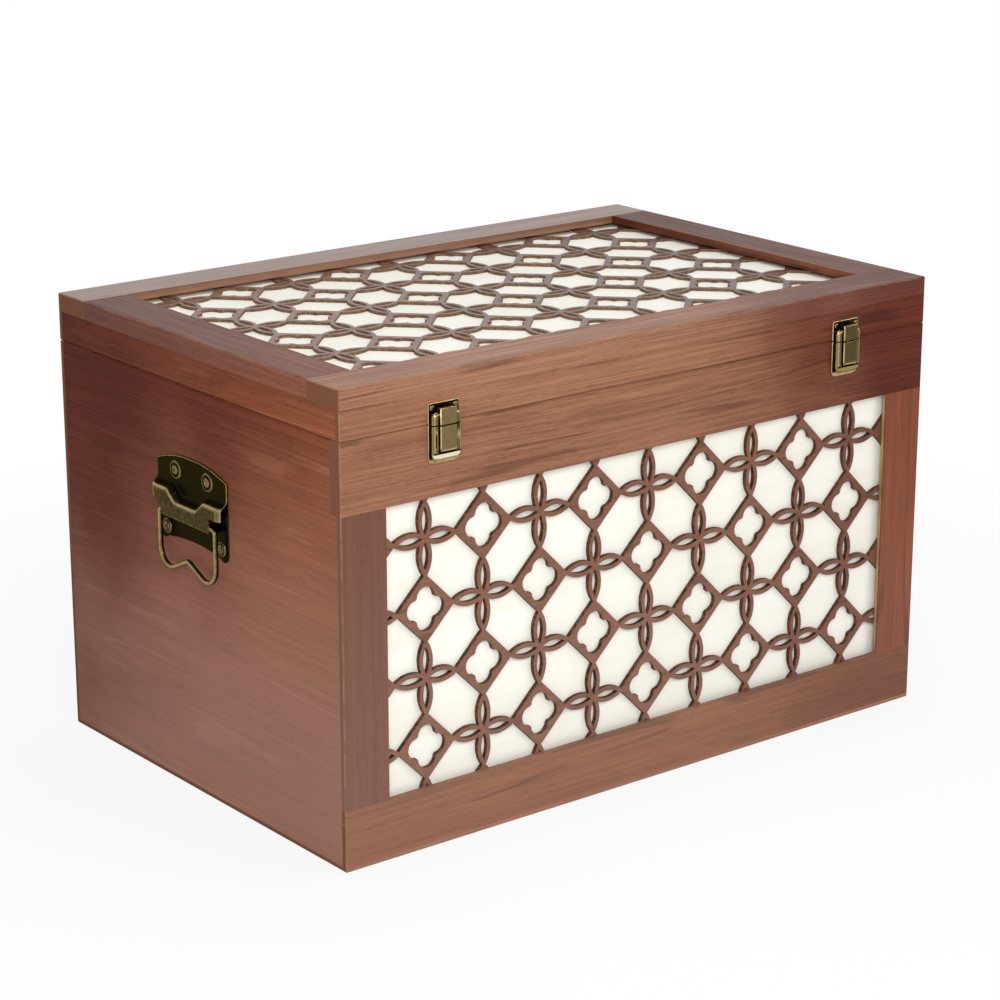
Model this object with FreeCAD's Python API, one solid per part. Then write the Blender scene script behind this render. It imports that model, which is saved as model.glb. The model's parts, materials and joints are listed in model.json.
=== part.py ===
import FreeCAD, Part
import math
import os

Vector = FreeCAD.Vector

# Wooden trunk with pierced fretwork in its front and lid.
# The origin is the middle of the underside. +X runs to the right along the front, the
# front faces -Y and +Z is up. All lengths are in millimetres.

# Overall sizes
trunk_length = 560.0
trunk_depth = 370.0
trunk_height = 350.0
lid_height = 37.0
seam_gap = 0.3

# Boards and frames
board_thickness = 12.0
corner_lip = 4.5
bottom_thickness = 3.5
frame_width = 38.0
top_rail_height = 52.0
bottom_rail_height = 42.5
lid_frame_thickness = 14.0
rabbet_width = 8.0
tenon_length = 10.0
tenon_thickness = 4.0
tenon_shoulder = 1.5
arris = 0.8

# Fretwork sheets and the ivory boards behind them
lattice_thickness = 3.5
backing_thickness = 3.0
front_setback = 4.0
lid_setback = 6.0
lattice_pitch = 51.5
petal_half_width = 5.9
petal_band = 3.2
petal_overlap = 3.2
lobe_radius = 7.7
lobe_square_half = 8.6
hidden_margin = 2.0
petal_steps = 2
slit_steps = 2
lobe_steps = 3

# Hinges on the back
hinge_end_distance = 110.0
hinge_spacing = trunk_length - 2 * hinge_end_distance
hinge_length = 50.0
hinge_leaf_width = 20.0
hinge_leaf_thickness = 1.2
knuckle_radius = 3.0
hinge_pin_radius = 1.25
knuckle_gap = 0.4
heel_reach = 9.0
heel_stop_angle = 102.0

# Latches on the front
latch_end_distance = 87.0
latch_spacing = trunk_length - 2 * latch_end_distance
latch_width = 27.0
latch_plate_thickness = 1.0
latch_above_seam = 15.5
latch_below_seam = 28.0
latch_top_corner = 1.5
latch_bottom_corner = 4.0
latch_plate_gap = 0.3
rim_inset = 1.0
rim_height = 5.6
rim_bar_width = 4.3
rim_crossbar_width = 3.6
rim_band_width = 5.0
rim_top_inset = 6.0
rim_bottom_inset = 3.2
rim_corner = 4.0
rim_chamfer = 1.4
tongue_width = 14.4
tongue_face = 8.5
tongue_thickness = 2.5
tongue_corner = 2.5
tongue_edge = 0.7
tongue_play = 0.5
nose_depth = 5.5
nose_thickness = 2.4
groove_width = 1.4
groove_depth = 1.2
barrel_radius = 3.1
latch_pin_radius = 0.9
ear_radius = 2.0
ear_length = 2.2

# Drop handles on the ends
handle_width = 92.0
handle_sheet = 0.8
handle_apex_below_top = 90.0
handle_crown = 8.0
handle_ear_depth = 68.4
handle_ear_width = 12.5
handle_ear_radius = 6.0
handle_hollow_rise = 5.4
handle_hollow_crown = 2.6
shoulder_crease_depth = 22.0
middle_crease_depth = 30.4
roof_fall = 4.7
cover_face = 8.9
cover_skirt_depth = 46.5
notch_depth = 35.5
skirt_half_width = 32.0
middle_half_width = 13.0
ramp_width = 10.5

# Bails
bail_wire_radius = 1.8
bail_axis_depth = 44.0
bail_axis_out = 6.25
bail_leg_half = 37.2
bail_pin_inner = 29.2
bail_drop = 42.2
bail_bend_radius = 3.2
bail_lobe_radius = 13.0
bail_peak_radius = 5.0
bail_grip_angle = 25.0
bail_sides = 8
bend_steps = 3
lug_inner = 30.4
lug_thickness = 1.5
lug_half_height = 3.6

# Small round bars have flats, and rounded corners and arches chords
bar_sides = 10
corner_steps = 2
arch_steps = 8

# Fits
fit_clearance = 0.2
running_clearance = 0.05
overrun = 2.0
touch = 0.001

# Places worked out from the sizes above
half_length = trunk_length / 2
half_depth = trunk_depth / 2
front_y = -half_depth
back_y = half_depth
body_top = trunk_height - lid_height
lid_bottom = body_top + seam_gap
lid_frame_bottom = trunk_height - lid_frame_thickness
frame_back_y = front_y + board_thickness
opening_half_x = half_length - frame_width
opening_half_y = half_depth - frame_width
opening_bottom = bottom_thickness + bottom_rail_height
opening_top = body_top - top_rail_height
sheet_half_x = opening_half_x + rabbet_width - fit_clearance

RIGHT = Vector(1, 0, 0)
BACK = Vector(0, 1, 0)
UP = Vector(0, 0, 1)
ORIGIN = Vector(0, 0, 0)


def cuboid(x0, x1, y0, y1, z0, z1):
    """A box between two corners."""
    return Part.makeBox(x1 - x0, y1 - y0, z1 - z0, Vector(x0, y0, z0))


def rod(start, direction, radius, length):
    """A cylinder from a point along a direction."""
    return Part.makeCylinder(radius, length, start, direction)


def flat_sided_bar(start, radius, length):
    """A bar along X whose flats stay inside the radius."""
    corners = []
    for side in range(bar_sides):
        angle = 2 * math.pi * (side + 1 / 2) / bar_sides
        corners.append(start + BACK * (radius * math.cos(angle)) + UP * (radius * math.sin(angle)))
    return Part.Face(Part.makePolygon(corners + corners[:1])).extrude(RIGHT * length)


def flat_sided_bore(start, radius, length):
    """A hole along X whose flats stay outside the radius."""
    return flat_sided_bar(start, radius / math.cos(math.pi / bar_sides), length)


def mirrored(shape):
    """The same piece on the other end of the trunk."""
    return shape.mirror(ORIGIN, RIGHT)


def cut_all(shape, cutters):
    """Takes several cutters away from a piece."""
    return shape.cut(Part.makeCompound(cutters)).removeSplitter()


def one_solid(shape):
    """The single solid inside a boolean's result."""
    return shape.Solids[0]


def ease_outside(shape, levels):
    """Breaks the arrises where two outside faces of the trunk meet, at the given heights too."""
    planes = [(0, -half_length), (0, half_length), (1, front_y), (1, back_y)]
    planes += [(2, level) for level in levels]
    picked = []
    for edge in shape.Edges:
        ends = [vertex.Point for vertex in edge.Vertexes]
        faces = 0
        for axis, place in planes:
            if all(abs(point[axis] - place) < touch for point in ends):
                faces += 1
        if faces == 2:
            picked.append(edge)
    return shape.makeChamfer(arris, picked)


def rounded_wire(points, radii, closed, steps):
    """A wire through points whose corners are rounded by the given radii, in chords, zero for sharp."""
    count = len(points)
    starts = []
    arcs = []
    for index in range(count):
        point = points[index]
        radius = radii[index]
        at_end = not closed and index in (0, count - 1)
        if radius == 0 or at_end:
            starts.append((point, point))
            arcs.append([])
            continue
        before = (points[index - 1] - point).normalize()
        after = (points[(index + 1) % count] - point).normalize()
        half = before.getAngle(after) / 2
        reach = radius / math.tan(half)
        middle = (before + after).normalize()
        near = point + middle * (radius / math.sin(half) - radius)
        first = point + before * reach
        last = point + after * reach
        starts.append((first, last))
        arc = Part.Arc(first, near, last).toShape()
        arcs.append(Part.makePolygon(arc.discretize(steps + 1)).Edges)
    edges = []
    for index in range(count):
        edges += arcs[index]
        if index == count - 1 and not closed:
            break
        leave = starts[index][1]
        arrive = starts[(index + 1) % count][0]
        if leave.distanceToPoint(arrive) > touch:
            edges.append(Part.LineSegment(leave, arrive).toShape())
    return Part.Wire(edges)


def rounded_plate(points, radii, travel):
    """A plate of a rounded outline, pushed along a vector."""
    return Part.Face(rounded_wire(points, radii, True, corner_steps)).extrude(travel)


# Fretwork


def petal_circle():
    """Centre distance and radius of the arcs that bound a petal."""
    half_chord = lattice_pitch / 4 + petal_overlap
    radius = (half_chord ** 2 + petal_half_width ** 2) / (2 * petal_half_width)
    return radius - petal_half_width, radius


def opening_outline():
    """The large opening between two flowers and two diamonds, about its own centre."""
    pitch = lattice_pitch
    low, radius = petal_circle()
    middle = pitch / 4
    # The arc meets the diagonal at u = v, and the diamond's side at v = u - pitch / 2.
    total = middle - low
    inner = (total + math.sqrt(total ** 2 - 2 * (middle ** 2 + low ** 2 - radius ** 2))) / 2
    shifted = pitch / 2 - low
    spread = middle + shifted
    outer = (spread + math.sqrt(spread ** 2 - 2 * (middle ** 2 + shifted ** 2 - radius ** 2))) / 2
    first = math.atan2(inner + low, inner - middle)
    last = math.atan2(outer - pitch / 2 + low, outer - middle)
    arc = []
    for step in range(petal_steps + 1):
        angle = first + (last - first) * step / petal_steps
        arc.append((middle + radius * math.cos(angle), radius * math.sin(angle) - low))
    lower = arc
    right = [(pitch - v, pitch - u) for u, v in reversed(arc)]
    upper = [(pitch - u, pitch - v) for u, v in arc]
    left = [(v, u) for u, v in reversed(arc)]
    loop = lower + right[:-1] + upper + left[:-1]
    return [(u - pitch / 2, v - pitch / 2) for u, v in loop]


def slit_outline():
    """The slit inside a petal that lies along u, about the petal's middle."""
    low, radius = petal_circle()
    radius -= petal_band
    reach = math.acos(low / radius)
    upper = []
    for step in range(slit_steps):
        angle = math.pi / 2 - reach + 2 * reach * step / slit_steps
        upper.append((radius * math.cos(angle), radius * math.sin(angle) - low))
    return upper + [(-u, -v) for u, v in upper]


def quatrefoil_outline():
    """The four-lobed hole of a diamond: a square with a half circle on each side."""
    lobe = [(lobe_square_half, lobe_square_half)]
    for step in range(1, lobe_steps):
        angle = math.pi * step / lobe_steps
        lobe.append((lobe_radius * math.cos(angle), lobe_square_half + lobe_radius * math.sin(angle)))
    loop = []
    for turn in range(4):
        for u, v in lobe:
            for quarter in range(turn):
                u, v = -v, u
            loop.append((u, v))
    return loop


def clipped(loop, half_u, half_v):
    """The part of an outline inside the window, cut side by side."""
    sides = ((1, 0, half_u), (-1, 0, half_u), (0, 1, half_v), (0, -1, half_v))
    for a, b, limit in sides:
        kept = []
        for index, point in enumerate(loop):
            before = loop[index - 1]
            room = limit - a * point[0] - b * point[1]
            room_before = limit - a * before[0] - b * before[1]
            if room * room_before < 0:
                share = room_before / (room_before - room)
                u = before[0] + (point[0] - before[0]) * share
                v = before[1] + (point[1] - before[1]) * share
                kept.append((u, v))
            if room >= 0:
                kept.append(point)
        loop = kept
        if len(loop) < 3:
            return []
    return loop


def loop_area(loop):
    """Area inside an outline."""
    total = 0
    for index, point in enumerate(loop):
        before = loop[index - 1]
        total += before[0] * point[1] - point[0] * before[1]
    return abs(total) / 2


def lattice_holes(half_u, half_v):
    """Outlines of all holes of a fretwork sheet whose visible window has these half sizes."""
    window_u = half_u + hidden_margin
    window_v = half_v + hidden_margin
    columns = math.ceil(window_u / lattice_pitch) + 1
    rows = 2 * math.ceil(window_v / lattice_pitch)
    top_row = round(half_v / lattice_pitch)
    opening = opening_outline()
    slit = slit_outline()
    quatrefoil = quatrefoil_outline()
    holes = []
    for row in range(-2, rows + 2):
        v = (top_row - row) * lattice_pitch - lattice_pitch / 2
        for column in range(-columns, columns + 1):
            u = column * lattice_pitch
            flower = (row + column) % 2 == 0
            turned = 1 if flower else -1
            cell = [(u + lattice_pitch / 2 + a * turned, v + lattice_pitch / 2 + b) for a, b in opening]
            holes.append(clipped(cell, window_u, window_v))
            if flower:
                for side in (-1, 1):
                    away = side * lattice_pitch / 4
                    holes.append(clipped([(u + away + a, v + b) for a, b in slit], window_u, window_v))
                    holes.append(clipped([(u + b, v + away + a) for a, b in slit], window_u, window_v))
            elif abs(u) < window_u and abs(v) < window_v:
                holes.append(clipped([(u + a, v + b) for a, b in quatrefoil], window_u, window_v))
    return [loop for loop in holes if loop and loop_area(loop) > petal_band ** 2 / 2]


def fretwork(half_u, half_v, sheet_half_v, origin, along_u, along_v, travel):
    """A pierced sheet: one face with all its holes, pushed to its thickness."""

    def place(u, v):
        return origin + along_u * u + along_v * v

    corners = [(-sheet_half_x, -sheet_half_v), (sheet_half_x, -sheet_half_v)]
    corners += [(sheet_half_x, sheet_half_v), (-sheet_half_x, sheet_half_v)]
    wires = []
    for loop in [corners] + lattice_holes(half_u, half_v):
        points = [place(u, v) for u, v in loop]
        wires.append(Part.makePolygon(points + points[:1]))
    return Part.makeFace(wires, "Part::FaceMakerBullseye").extrude(travel)


# Hardware positions

hinge_axis = Vector(0, back_y + knuckle_radius, body_top + seam_gap / 2)
hinge_places = (-hinge_spacing / 2, hinge_spacing / 2)
latch_places = (-latch_spacing / 2, latch_spacing / 2)

plate_top = body_top + latch_above_seam
plate_bottom = body_top - latch_below_seam
rim_top = plate_top - rim_top_inset
rim_bottom = plate_bottom + rim_bottom_inset
rim_half = latch_width / 2 - rim_inset
rim_inner_half = rim_half - rim_bar_width
band_top = rim_bottom + rim_band_width
lever_axis_out = tongue_face - barrel_radius
lever_axis_z = band_top + barrel_radius + tongue_play
tongue_top = rim_top + tongue_play + nose_thickness

handle_apex_z = trunk_height - handle_apex_below_top
handle_half = handle_width / 2
handle_ear_z = handle_apex_z - handle_ear_depth
bail_axis_z = handle_apex_z - bail_axis_depth
end_x = -half_length


def on_front(x, out, z):
    """A point at a distance out from the front face."""
    return Vector(x, front_y - out, z)


def on_end(out, y, z):
    """A point at a distance out from the left end face."""
    return Vector(end_x - out, y, z)


# Carcass boards


def corner_rabbets(y_near, y_far, z0, z1):
    """Cuts at both ends of a front or back board that leave only its lip over the side boards."""
    left = cuboid(-half_length - overrun, -half_length + board_thickness, y_near, y_far, z0, z1)
    return [left, mirrored(left)]


def front_window():
    """The rabbet behind the front opening that holds the fretwork and its ivory board."""
    reach = opening_half_x + rabbet_width
    z0 = opening_bottom - rabbet_width
    z1 = opening_top + rabbet_width
    return cuboid(-reach, reach, front_y + front_setback, frame_back_y + overrun, z0, z1)


def stile_tenon(extra):
    """The bar that runs from the left stile into both rails, or its mortise with some extra room."""
    x0 = -half_length + board_thickness + tenon_shoulder - extra
    x1 = -opening_half_x - rabbet_width - tenon_shoulder + extra
    y0 = front_y + (board_thickness - tenon_thickness) / 2 - extra
    z0 = opening_bottom - tenon_length - extra
    z1 = opening_top + tenon_length + extra
    return cuboid(x0, x1, y0, y0 + tenon_thickness + 2 * extra, z0, z1)


def make_bottom_panel():
    board = cuboid(-half_length, half_length, front_y, back_y, 0, bottom_thickness)
    return ease_outside(board, [0])


def make_side_board():
    x1 = -half_length + board_thickness
    y0 = front_y + corner_lip
    board = cuboid(-half_length, x1, y0, back_y - corner_lip, bottom_thickness, body_top)
    notch = cuboid(
        -half_length - overrun, x1 + overrun, y0 - overrun, frame_back_y, opening_top, body_top + overrun
    )
    return ease_outside(one_solid(board.cut(notch)), [body_top])


def make_back_board():
    y0 = back_y - board_thickness
    board = cuboid(-half_length, half_length, y0, back_y, bottom_thickness, body_top)
    cuts = corner_rabbets(y0 - overrun, back_y - corner_lip, 0, trunk_height)
    return ease_outside(one_solid(cut_all(board, cuts)), [body_top])


def make_front_top_rail():
    board = cuboid(-half_length, half_length, front_y, frame_back_y, opening_top, body_top)
    mortise = stile_tenon(fit_clearance)
    board = one_solid(cut_all(board, [front_window(), mortise, mirrored(mortise)]))
    return ease_outside(board, [body_top])


def make_front_bottom_rail():
    board = cuboid(-half_length, half_length, front_y, frame_back_y, bottom_thickness, opening_bottom)
    mortise = stile_tenon(fit_clearance)
    cuts = corner_rabbets(front_y + corner_lip, frame_back_y + overrun, 0, trunk_height)
    board = one_solid(cut_all(board, cuts + [front_window(), mortise, mirrored(mortise)]))
    return ease_outside(board, [])


def make_front_stile():
    board = cuboid(-half_length, -opening_half_x, front_y, frame_back_y, opening_bottom, opening_top)
    cuts = corner_rabbets(front_y + corner_lip, frame_back_y + overrun, 0, trunk_height)
    board = one_solid(cut_all(board, cuts + [front_window()]))
    board = ease_outside(board, [])
    return one_solid(board.fuse(stile_tenon(0)).removeSplitter())


def make_front_lattice():
    middle = (opening_top + opening_bottom) / 2
    half_v = (opening_top - opening_bottom) / 2
    origin = Vector(0, front_y + front_setback, middle)
    sheet_half_v = half_v + rabbet_width - fit_clearance
    return fretwork(opening_half_x, half_v, sheet_half_v, origin, RIGHT, UP, BACK * lattice_thickness)


def make_front_backing():
    y0 = front_y + front_setback + lattice_thickness
    z0 = opening_bottom - rabbet_width + fit_clearance
    z1 = opening_top + rabbet_width - fit_clearance
    return cuboid(-sheet_half_x, sheet_half_x, y0, y0 + backing_thickness, z0, z1)


# Lid


def make_lid_long_board(y_out, inward):
    """The lid's front or back board, whose ends leave a lip over the lid's side boards."""
    y_in = y_out + inward * board_thickness
    lip = y_out + inward * corner_lip
    beyond = y_in + inward * overrun
    board = cuboid(-half_length, half_length, min(y_out, y_in), max(y_out, y_in), lid_bottom, lid_frame_bottom)
    cuts = corner_rabbets(min(lip, beyond), max(lip, beyond), 0, trunk_height)
    return ease_outside(one_solid(cut_all(board, cuts)), [lid_bottom])


def make_lid_side_board():
    x1 = -half_length + board_thickness
    y0 = front_y + corner_lip
    board = cuboid(-half_length, x1, y0, back_y - corner_lip, lid_bottom, lid_frame_bottom)
    return ease_outside(board, [lid_bottom])


def lid_window():
    """The rabbet under the lid's opening that holds its fretwork and ivory board."""
    reach_x = opening_half_x + rabbet_width
    reach_y = opening_half_y + rabbet_width
    z1 = trunk_height - lid_setback
    return cuboid(-reach_x, reach_x, -reach_y, reach_y, lid_frame_bottom - overrun, z1)


def lid_tenon(extra):
    """The bar that runs from the left lid rail into the front and back rails, or its mortise."""
    x0 = -half_length + rabbet_width - extra
    x1 = -opening_half_x - rabbet_width - tenon_shoulder + extra
    reach = opening_half_y + tenon_length + extra
    z0 = lid_frame_bottom + (lid_frame_thickness - tenon_thickness) / 2 - extra
    return cuboid(x0, x1, -reach, reach, z0, z0 + tenon_thickness + 2 * extra)


def make_lid_long_rail(inner_y, outer_y):
    """The lid frame's front or back rail, which runs the full length."""
    y0 = min(inner_y, outer_y)
    y1 = max(inner_y, outer_y)
    rail = cuboid(-half_length, half_length, y0, y1, lid_frame_bottom, trunk_height)
    mortise = lid_tenon(fit_clearance)
    rail = one_solid(cut_all(rail, [lid_window(), mortise, mirrored(mortise)]))
    return ease_outside(rail, [trunk_height])


def make_lid_side_rail():
    rail = cuboid(
        -half_length, -opening_half_x, -opening_half_y, opening_half_y, lid_frame_bottom, trunk_height
    )
    rail = ease_outside(one_solid(rail.cut(lid_window())), [trunk_height])
    return one_solid(rail.fuse(lid_tenon(0)).removeSplitter())


def make_lid_lattice():
    origin = Vector(0, 0, trunk_height - lid_setback)
    sheet_half_v = opening_half_y + rabbet_width - fit_clearance
    down = UP * -lattice_thickness
    return fretwork(opening_half_x, opening_half_y, sheet_half_v, origin, RIGHT, BACK, down)


def make_lid_backing():
    z1 = trunk_height - lid_setback - lattice_thickness
    reach_y = opening_half_y + rabbet_width - fit_clearance
    return cuboid(-sheet_half_x, sheet_half_x, -reach_y, reach_y, z1 - backing_thickness, z1)


# Hinges


def knuckle_spans(x):
    """The three stretches of a hinge along its pin: outer, middle, outer."""
    third = hinge_length / 3
    start = x - hinge_length / 2
    return [(start + third * index, start + third * (index + 1)) for index in range(3)]


def make_hinge_leaf(x, upward):
    """A leaf with a heel that meets the other leaf's heel when the lid is open.

    The lower leaf has the outer knuckles and the pin between them, the upper one the middle knuckle.
    """
    axis = Vector(x, hinge_axis.y, hinge_axis.z)
    start_x = x - hinge_length / 2
    stop_x = x + hinge_length / 2
    far_z = hinge_axis.z + upward * hinge_leaf_width
    near_z = hinge_axis.z + upward * (knuckle_radius + knuckle_gap)
    y1 = back_y + hinge_leaf_thickness
    leaf = cuboid(start_x, stop_x, back_y, y1, min(near_z, far_z), max(near_z, far_z))
    # The heel's meeting face is radial, and each heel lies half the stop angle from level.
    heel_low = hinge_axis.z if upward > 0 else hinge_axis.z - hinge_leaf_thickness
    heel_high = heel_low + hinge_leaf_thickness
    heel_root = hinge_axis.y + knuckle_radius + knuckle_gap
    heel_parts = [cuboid(start_x, stop_x, heel_root, hinge_axis.y + heel_reach, heel_low, heel_high)]
    own_knuckles = [knuckle_spans(x)[1]] if upward > 0 else knuckle_spans(x)[::2]
    pieces = []
    for x0, x1 in own_knuckles:
        x0 += knuckle_gap / 2
        x1 -= knuckle_gap / 2
        heel_parts.append(cuboid(x0, x1, hinge_axis.y, heel_root, heel_low, heel_high))
        pieces.append(flat_sided_bar(Vector(x0, axis.y, axis.z), knuckle_radius, x1 - x0))
        pieces.append(cuboid(x0, x1, back_y, y1, min(axis.z, near_z), max(axis.z, near_z)))
    for part in heel_parts:
        part.rotate(axis, RIGHT, upward * heel_stop_angle / 2)
    for piece in heel_parts + pieces:
        leaf = leaf.fuse(piece)
    if upward > 0:
        bore_start = Vector(start_x - overrun, axis.y, axis.z)
        bore_radius = hinge_pin_radius + running_clearance
        leaf = leaf.cut(flat_sided_bore(bore_start, bore_radius, hinge_length + 2 * overrun))
    else:
        pin_start = Vector(start_x + knuckle_gap, axis.y, axis.z)
        leaf = leaf.fuse(rod(pin_start, RIGHT, hinge_pin_radius, hinge_length - 2 * knuckle_gap))
    return one_solid(leaf.removeSplitter())


# Latches


def latch_outline(half, low, high, low_radius, high_radius, out0, out1):
    """A plate of the latch, rounded at its corners, between two distances from the front."""
    points = [on_front(-half, out0, low), on_front(half, out0, low)]
    points += [on_front(half, out0, high), on_front(-half, out0, high)]
    radii = [low_radius, low_radius, high_radius, high_radius]
    return rounded_plate(points, radii, BACK * (out0 - out1))


def latch_shell():
    """The whole base plate with its raised rim, before the seam splits it."""
    plate = latch_outline(
        latch_width / 2, plate_bottom, plate_top, latch_bottom_corner, latch_top_corner, 0,
        latch_plate_thickness
    )
    rim = latch_outline(
        rim_half, rim_bottom, rim_top, rim_corner, rim_corner, latch_plate_thickness / 2, rim_height
    )
    outer_edges = [edge for edge in rim.Edges
                   if all(abs(vertex.Y - front_y + rim_height) < touch for vertex in edge.Vertexes)]
    rim = rim.makeChamfer(rim_chamfer, outer_edges)
    well = latch_outline(
        rim_inner_half, band_top, rim_top - rim_crossbar_width, rim_chamfer, rim_chamfer,
        latch_plate_thickness, rim_height + overrun
    )
    return plate.fuse(rim).cut(well)


def slab(z0, z1):
    """A tall box around the latch between two heights."""
    return cuboid(-latch_width, latch_width, front_y - latch_width, front_y + overrun, z0, z1)


def make_latch_keeper(x):
    """The half of the shell on the lid."""
    half = latch_shell().common(slab(lid_bottom + latch_plate_gap, trunk_height))
    half = one_solid(half.removeSplitter())
    half.translate(RIGHT * x)
    return half


def make_latch_base(x):
    """The half of the shell on the front, with ears and the tongue's pin between them."""
    half = latch_shell().common(slab(0, body_top - latch_plate_gap))
    axis_start = on_front(rim_inner_half, lever_axis_out, lever_axis_z)
    ear = flat_sided_bar(axis_start, ear_radius, ear_length)
    half = half.fuse(ear).fuse(mirrored(ear))
    pin_start = on_front(-rim_inner_half, lever_axis_out, lever_axis_z)
    half = half.fuse(rod(pin_start, RIGHT, latch_pin_radius, 2 * rim_inner_half))
    half = one_solid(half.removeSplitter())
    half.translate(RIGHT * x)
    return half


def make_latch_lever(x):
    """The tongue: a plate split by a groove at the seam, a hook nose on top and a barrel below."""
    back = tongue_face - tongue_thickness
    tip = tongue_face - nose_depth
    under = tongue_top - nose_thickness
    half = tongue_width / 2
    profile = [(tongue_face, lever_axis_z), (tongue_face, tongue_top - tongue_edge)]
    profile += [(tongue_face - tongue_edge, tongue_top), (tip, tongue_top), (tip, under)]
    profile += [(back, under), (back, lever_axis_z)]
    points = [on_front(-half, out, z) for out, z in profile]
    tongue = Part.Face(Part.makePolygon(points + points[:1])).extrude(RIGHT * tongue_width)
    barrel = flat_sided_bar(on_front(-half, lever_axis_out, lever_axis_z), barrel_radius, tongue_width)
    tongue = tongue.fuse(barrel).removeSplitter()
    outline = latch_outline(
        half, lever_axis_z - barrel_radius, tongue_top, tongue_corner, 0, 0, tongue_face + overrun
    )
    tongue = tongue.common(outline)
    groove = cuboid(
        -half - overrun, half + overrun, front_y - tongue_face - overrun,
        front_y - tongue_face + groove_depth, body_top - groove_width / 2, body_top + groove_width / 2
    )
    bevels = []
    for side in (-1, 1):
        edge = on_front(side * half, tongue_face, 0)
        size = tongue_edge * math.sqrt(2)
        bevel = cuboid(-size / 2, size / 2, -size / 2, size / 2, lever_axis_z, tongue_top + overrun)
        bevel.rotate(ORIGIN, UP, math.degrees(math.pi / 4))
        bevel.translate(edge)
        bevels.append(bevel)
    bore_start = on_front(-half - overrun, lever_axis_out, lever_axis_z)
    bore = flat_sided_bore(bore_start, latch_pin_radius + running_clearance, tongue_width + 2 * overrun)
    tongue = one_solid(cut_all(tongue, [groove, bore] + bevels))
    tongue.translate(RIGHT * x)
    return tongue


# Drop handles, made on the left end


def shallow_arch(half, apex_z, crown):
    """Points along an arch from one side to the other, in chords."""
    radius = (half ** 2 + crown ** 2) / (2 * crown)
    reach = math.asin(half / radius)
    points = []
    for step in range(arch_steps + 1):
        angle = reach * (2 * step / arch_steps - 1)
        points.append((radius * math.sin(angle), apex_z - radius * (1 - math.cos(angle))))
    return points


def crowned_plate(out0, out1, lower_edge):
    """The handle's outline: an arched top, rounded lower corners and any points between those."""
    loop = [(-handle_half, handle_ear_z)] + lower_edge + [(handle_half, handle_ear_z)]
    radii = [handle_ear_radius] + [0] * len(lower_edge) + [handle_ear_radius]
    arch = shallow_arch(handle_half, handle_apex_z, handle_crown)
    loop += arch[::-1]
    radii += [0] * len(arch)
    return rounded_plate([on_end(out0, y, z) for y, z in loop], radii, RIGHT * (out0 - out1))


def make_handle_back_plate():
    """The flat plate on the wood, with two ears, a hollow lower edge and slotted lugs for the bail."""
    inner = handle_half - handle_ear_width
    hollow = shallow_arch(inner, handle_ear_z + handle_hollow_rise, handle_hollow_crown)
    plate = crowned_plate(0, handle_sheet, [(-inner, handle_ear_z)] + hollow + [(inner, handle_ear_z)])
    for side in (-1, 1):
        y0 = side * lug_inner
        y1 = side * (lug_inner + lug_thickness)
        plate = plate.fuse(cuboid(
            end_x - cover_face + 2 * handle_sheet, end_x - handle_sheet / 2, min(y0, y1), max(y0, y1),
            bail_axis_z - lug_half_height, bail_axis_z + lug_half_height
        ))
    room = bail_wire_radius + running_clearance
    slot = cuboid(
        end_x - cover_face, end_x - bail_axis_out, -handle_half, handle_half,
        bail_axis_z - room, bail_axis_z + room
    )
    slot_end = rod(on_end(bail_axis_out, -handle_half, bail_axis_z), BACK, room, handle_width)
    return one_solid(cut_all(plate, [slot.fuse(slot_end)]))


def cover_outline(out, drop, spread):
    """The cover's outline at a distance out: shoulders, ramps and a lower middle."""
    share = (out - handle_sheet) / (cover_face - handle_sheet)
    shoulder = handle_apex_z - shoulder_crease_depth - roof_fall * share - drop
    middle = handle_apex_z - middle_crease_depth - roof_fall * share - drop
    skirt = handle_apex_z - cover_skirt_depth - spread
    edge = handle_half + spread
    ramp = middle_half_width + ramp_width
    half = [(edge, skirt), (edge, shoulder), (ramp, shoulder), (middle_half_width, middle)]
    loop = half + [(-y, z) for y, z in reversed(half)]
    points = [on_end(out, y, z) for y, z in loop]
    return Part.makePolygon(points + points[:1])


def make_handle_cover():
    """The stamped cover: a flat top on the back plate, a sloping roof and a skirt over the bail."""
    outer = Part.makeLoft([cover_outline(handle_sheet, 0, 0), cover_outline(cover_face, 0, 0)], True, True)
    inside = cover_face - handle_sheet
    inner = Part.makeLoft(
        [cover_outline(0, handle_sheet, overrun), cover_outline(inside, handle_sheet, overrun)], True, True
    )
    flat = crowned_plate(handle_sheet, 2 * handle_sheet, [])
    below = Part.Face(cover_outline(handle_sheet, handle_sheet, overrun)).extrude(RIGHT * -cover_face)
    cover = outer.cut(inner).fuse(flat.cut(below))
    notches = []
    for side in (-1, 1):
        y0 = side * skirt_half_width
        y1 = side * (handle_half + overrun)
        notches.append(cuboid(
            end_x - cover_face - overrun, end_x - handle_sheet, min(y0, y1), max(y0, y1),
            handle_ear_z, handle_apex_z - notch_depth
        ))
    return one_solid(cut_all(cover, notches))


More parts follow.
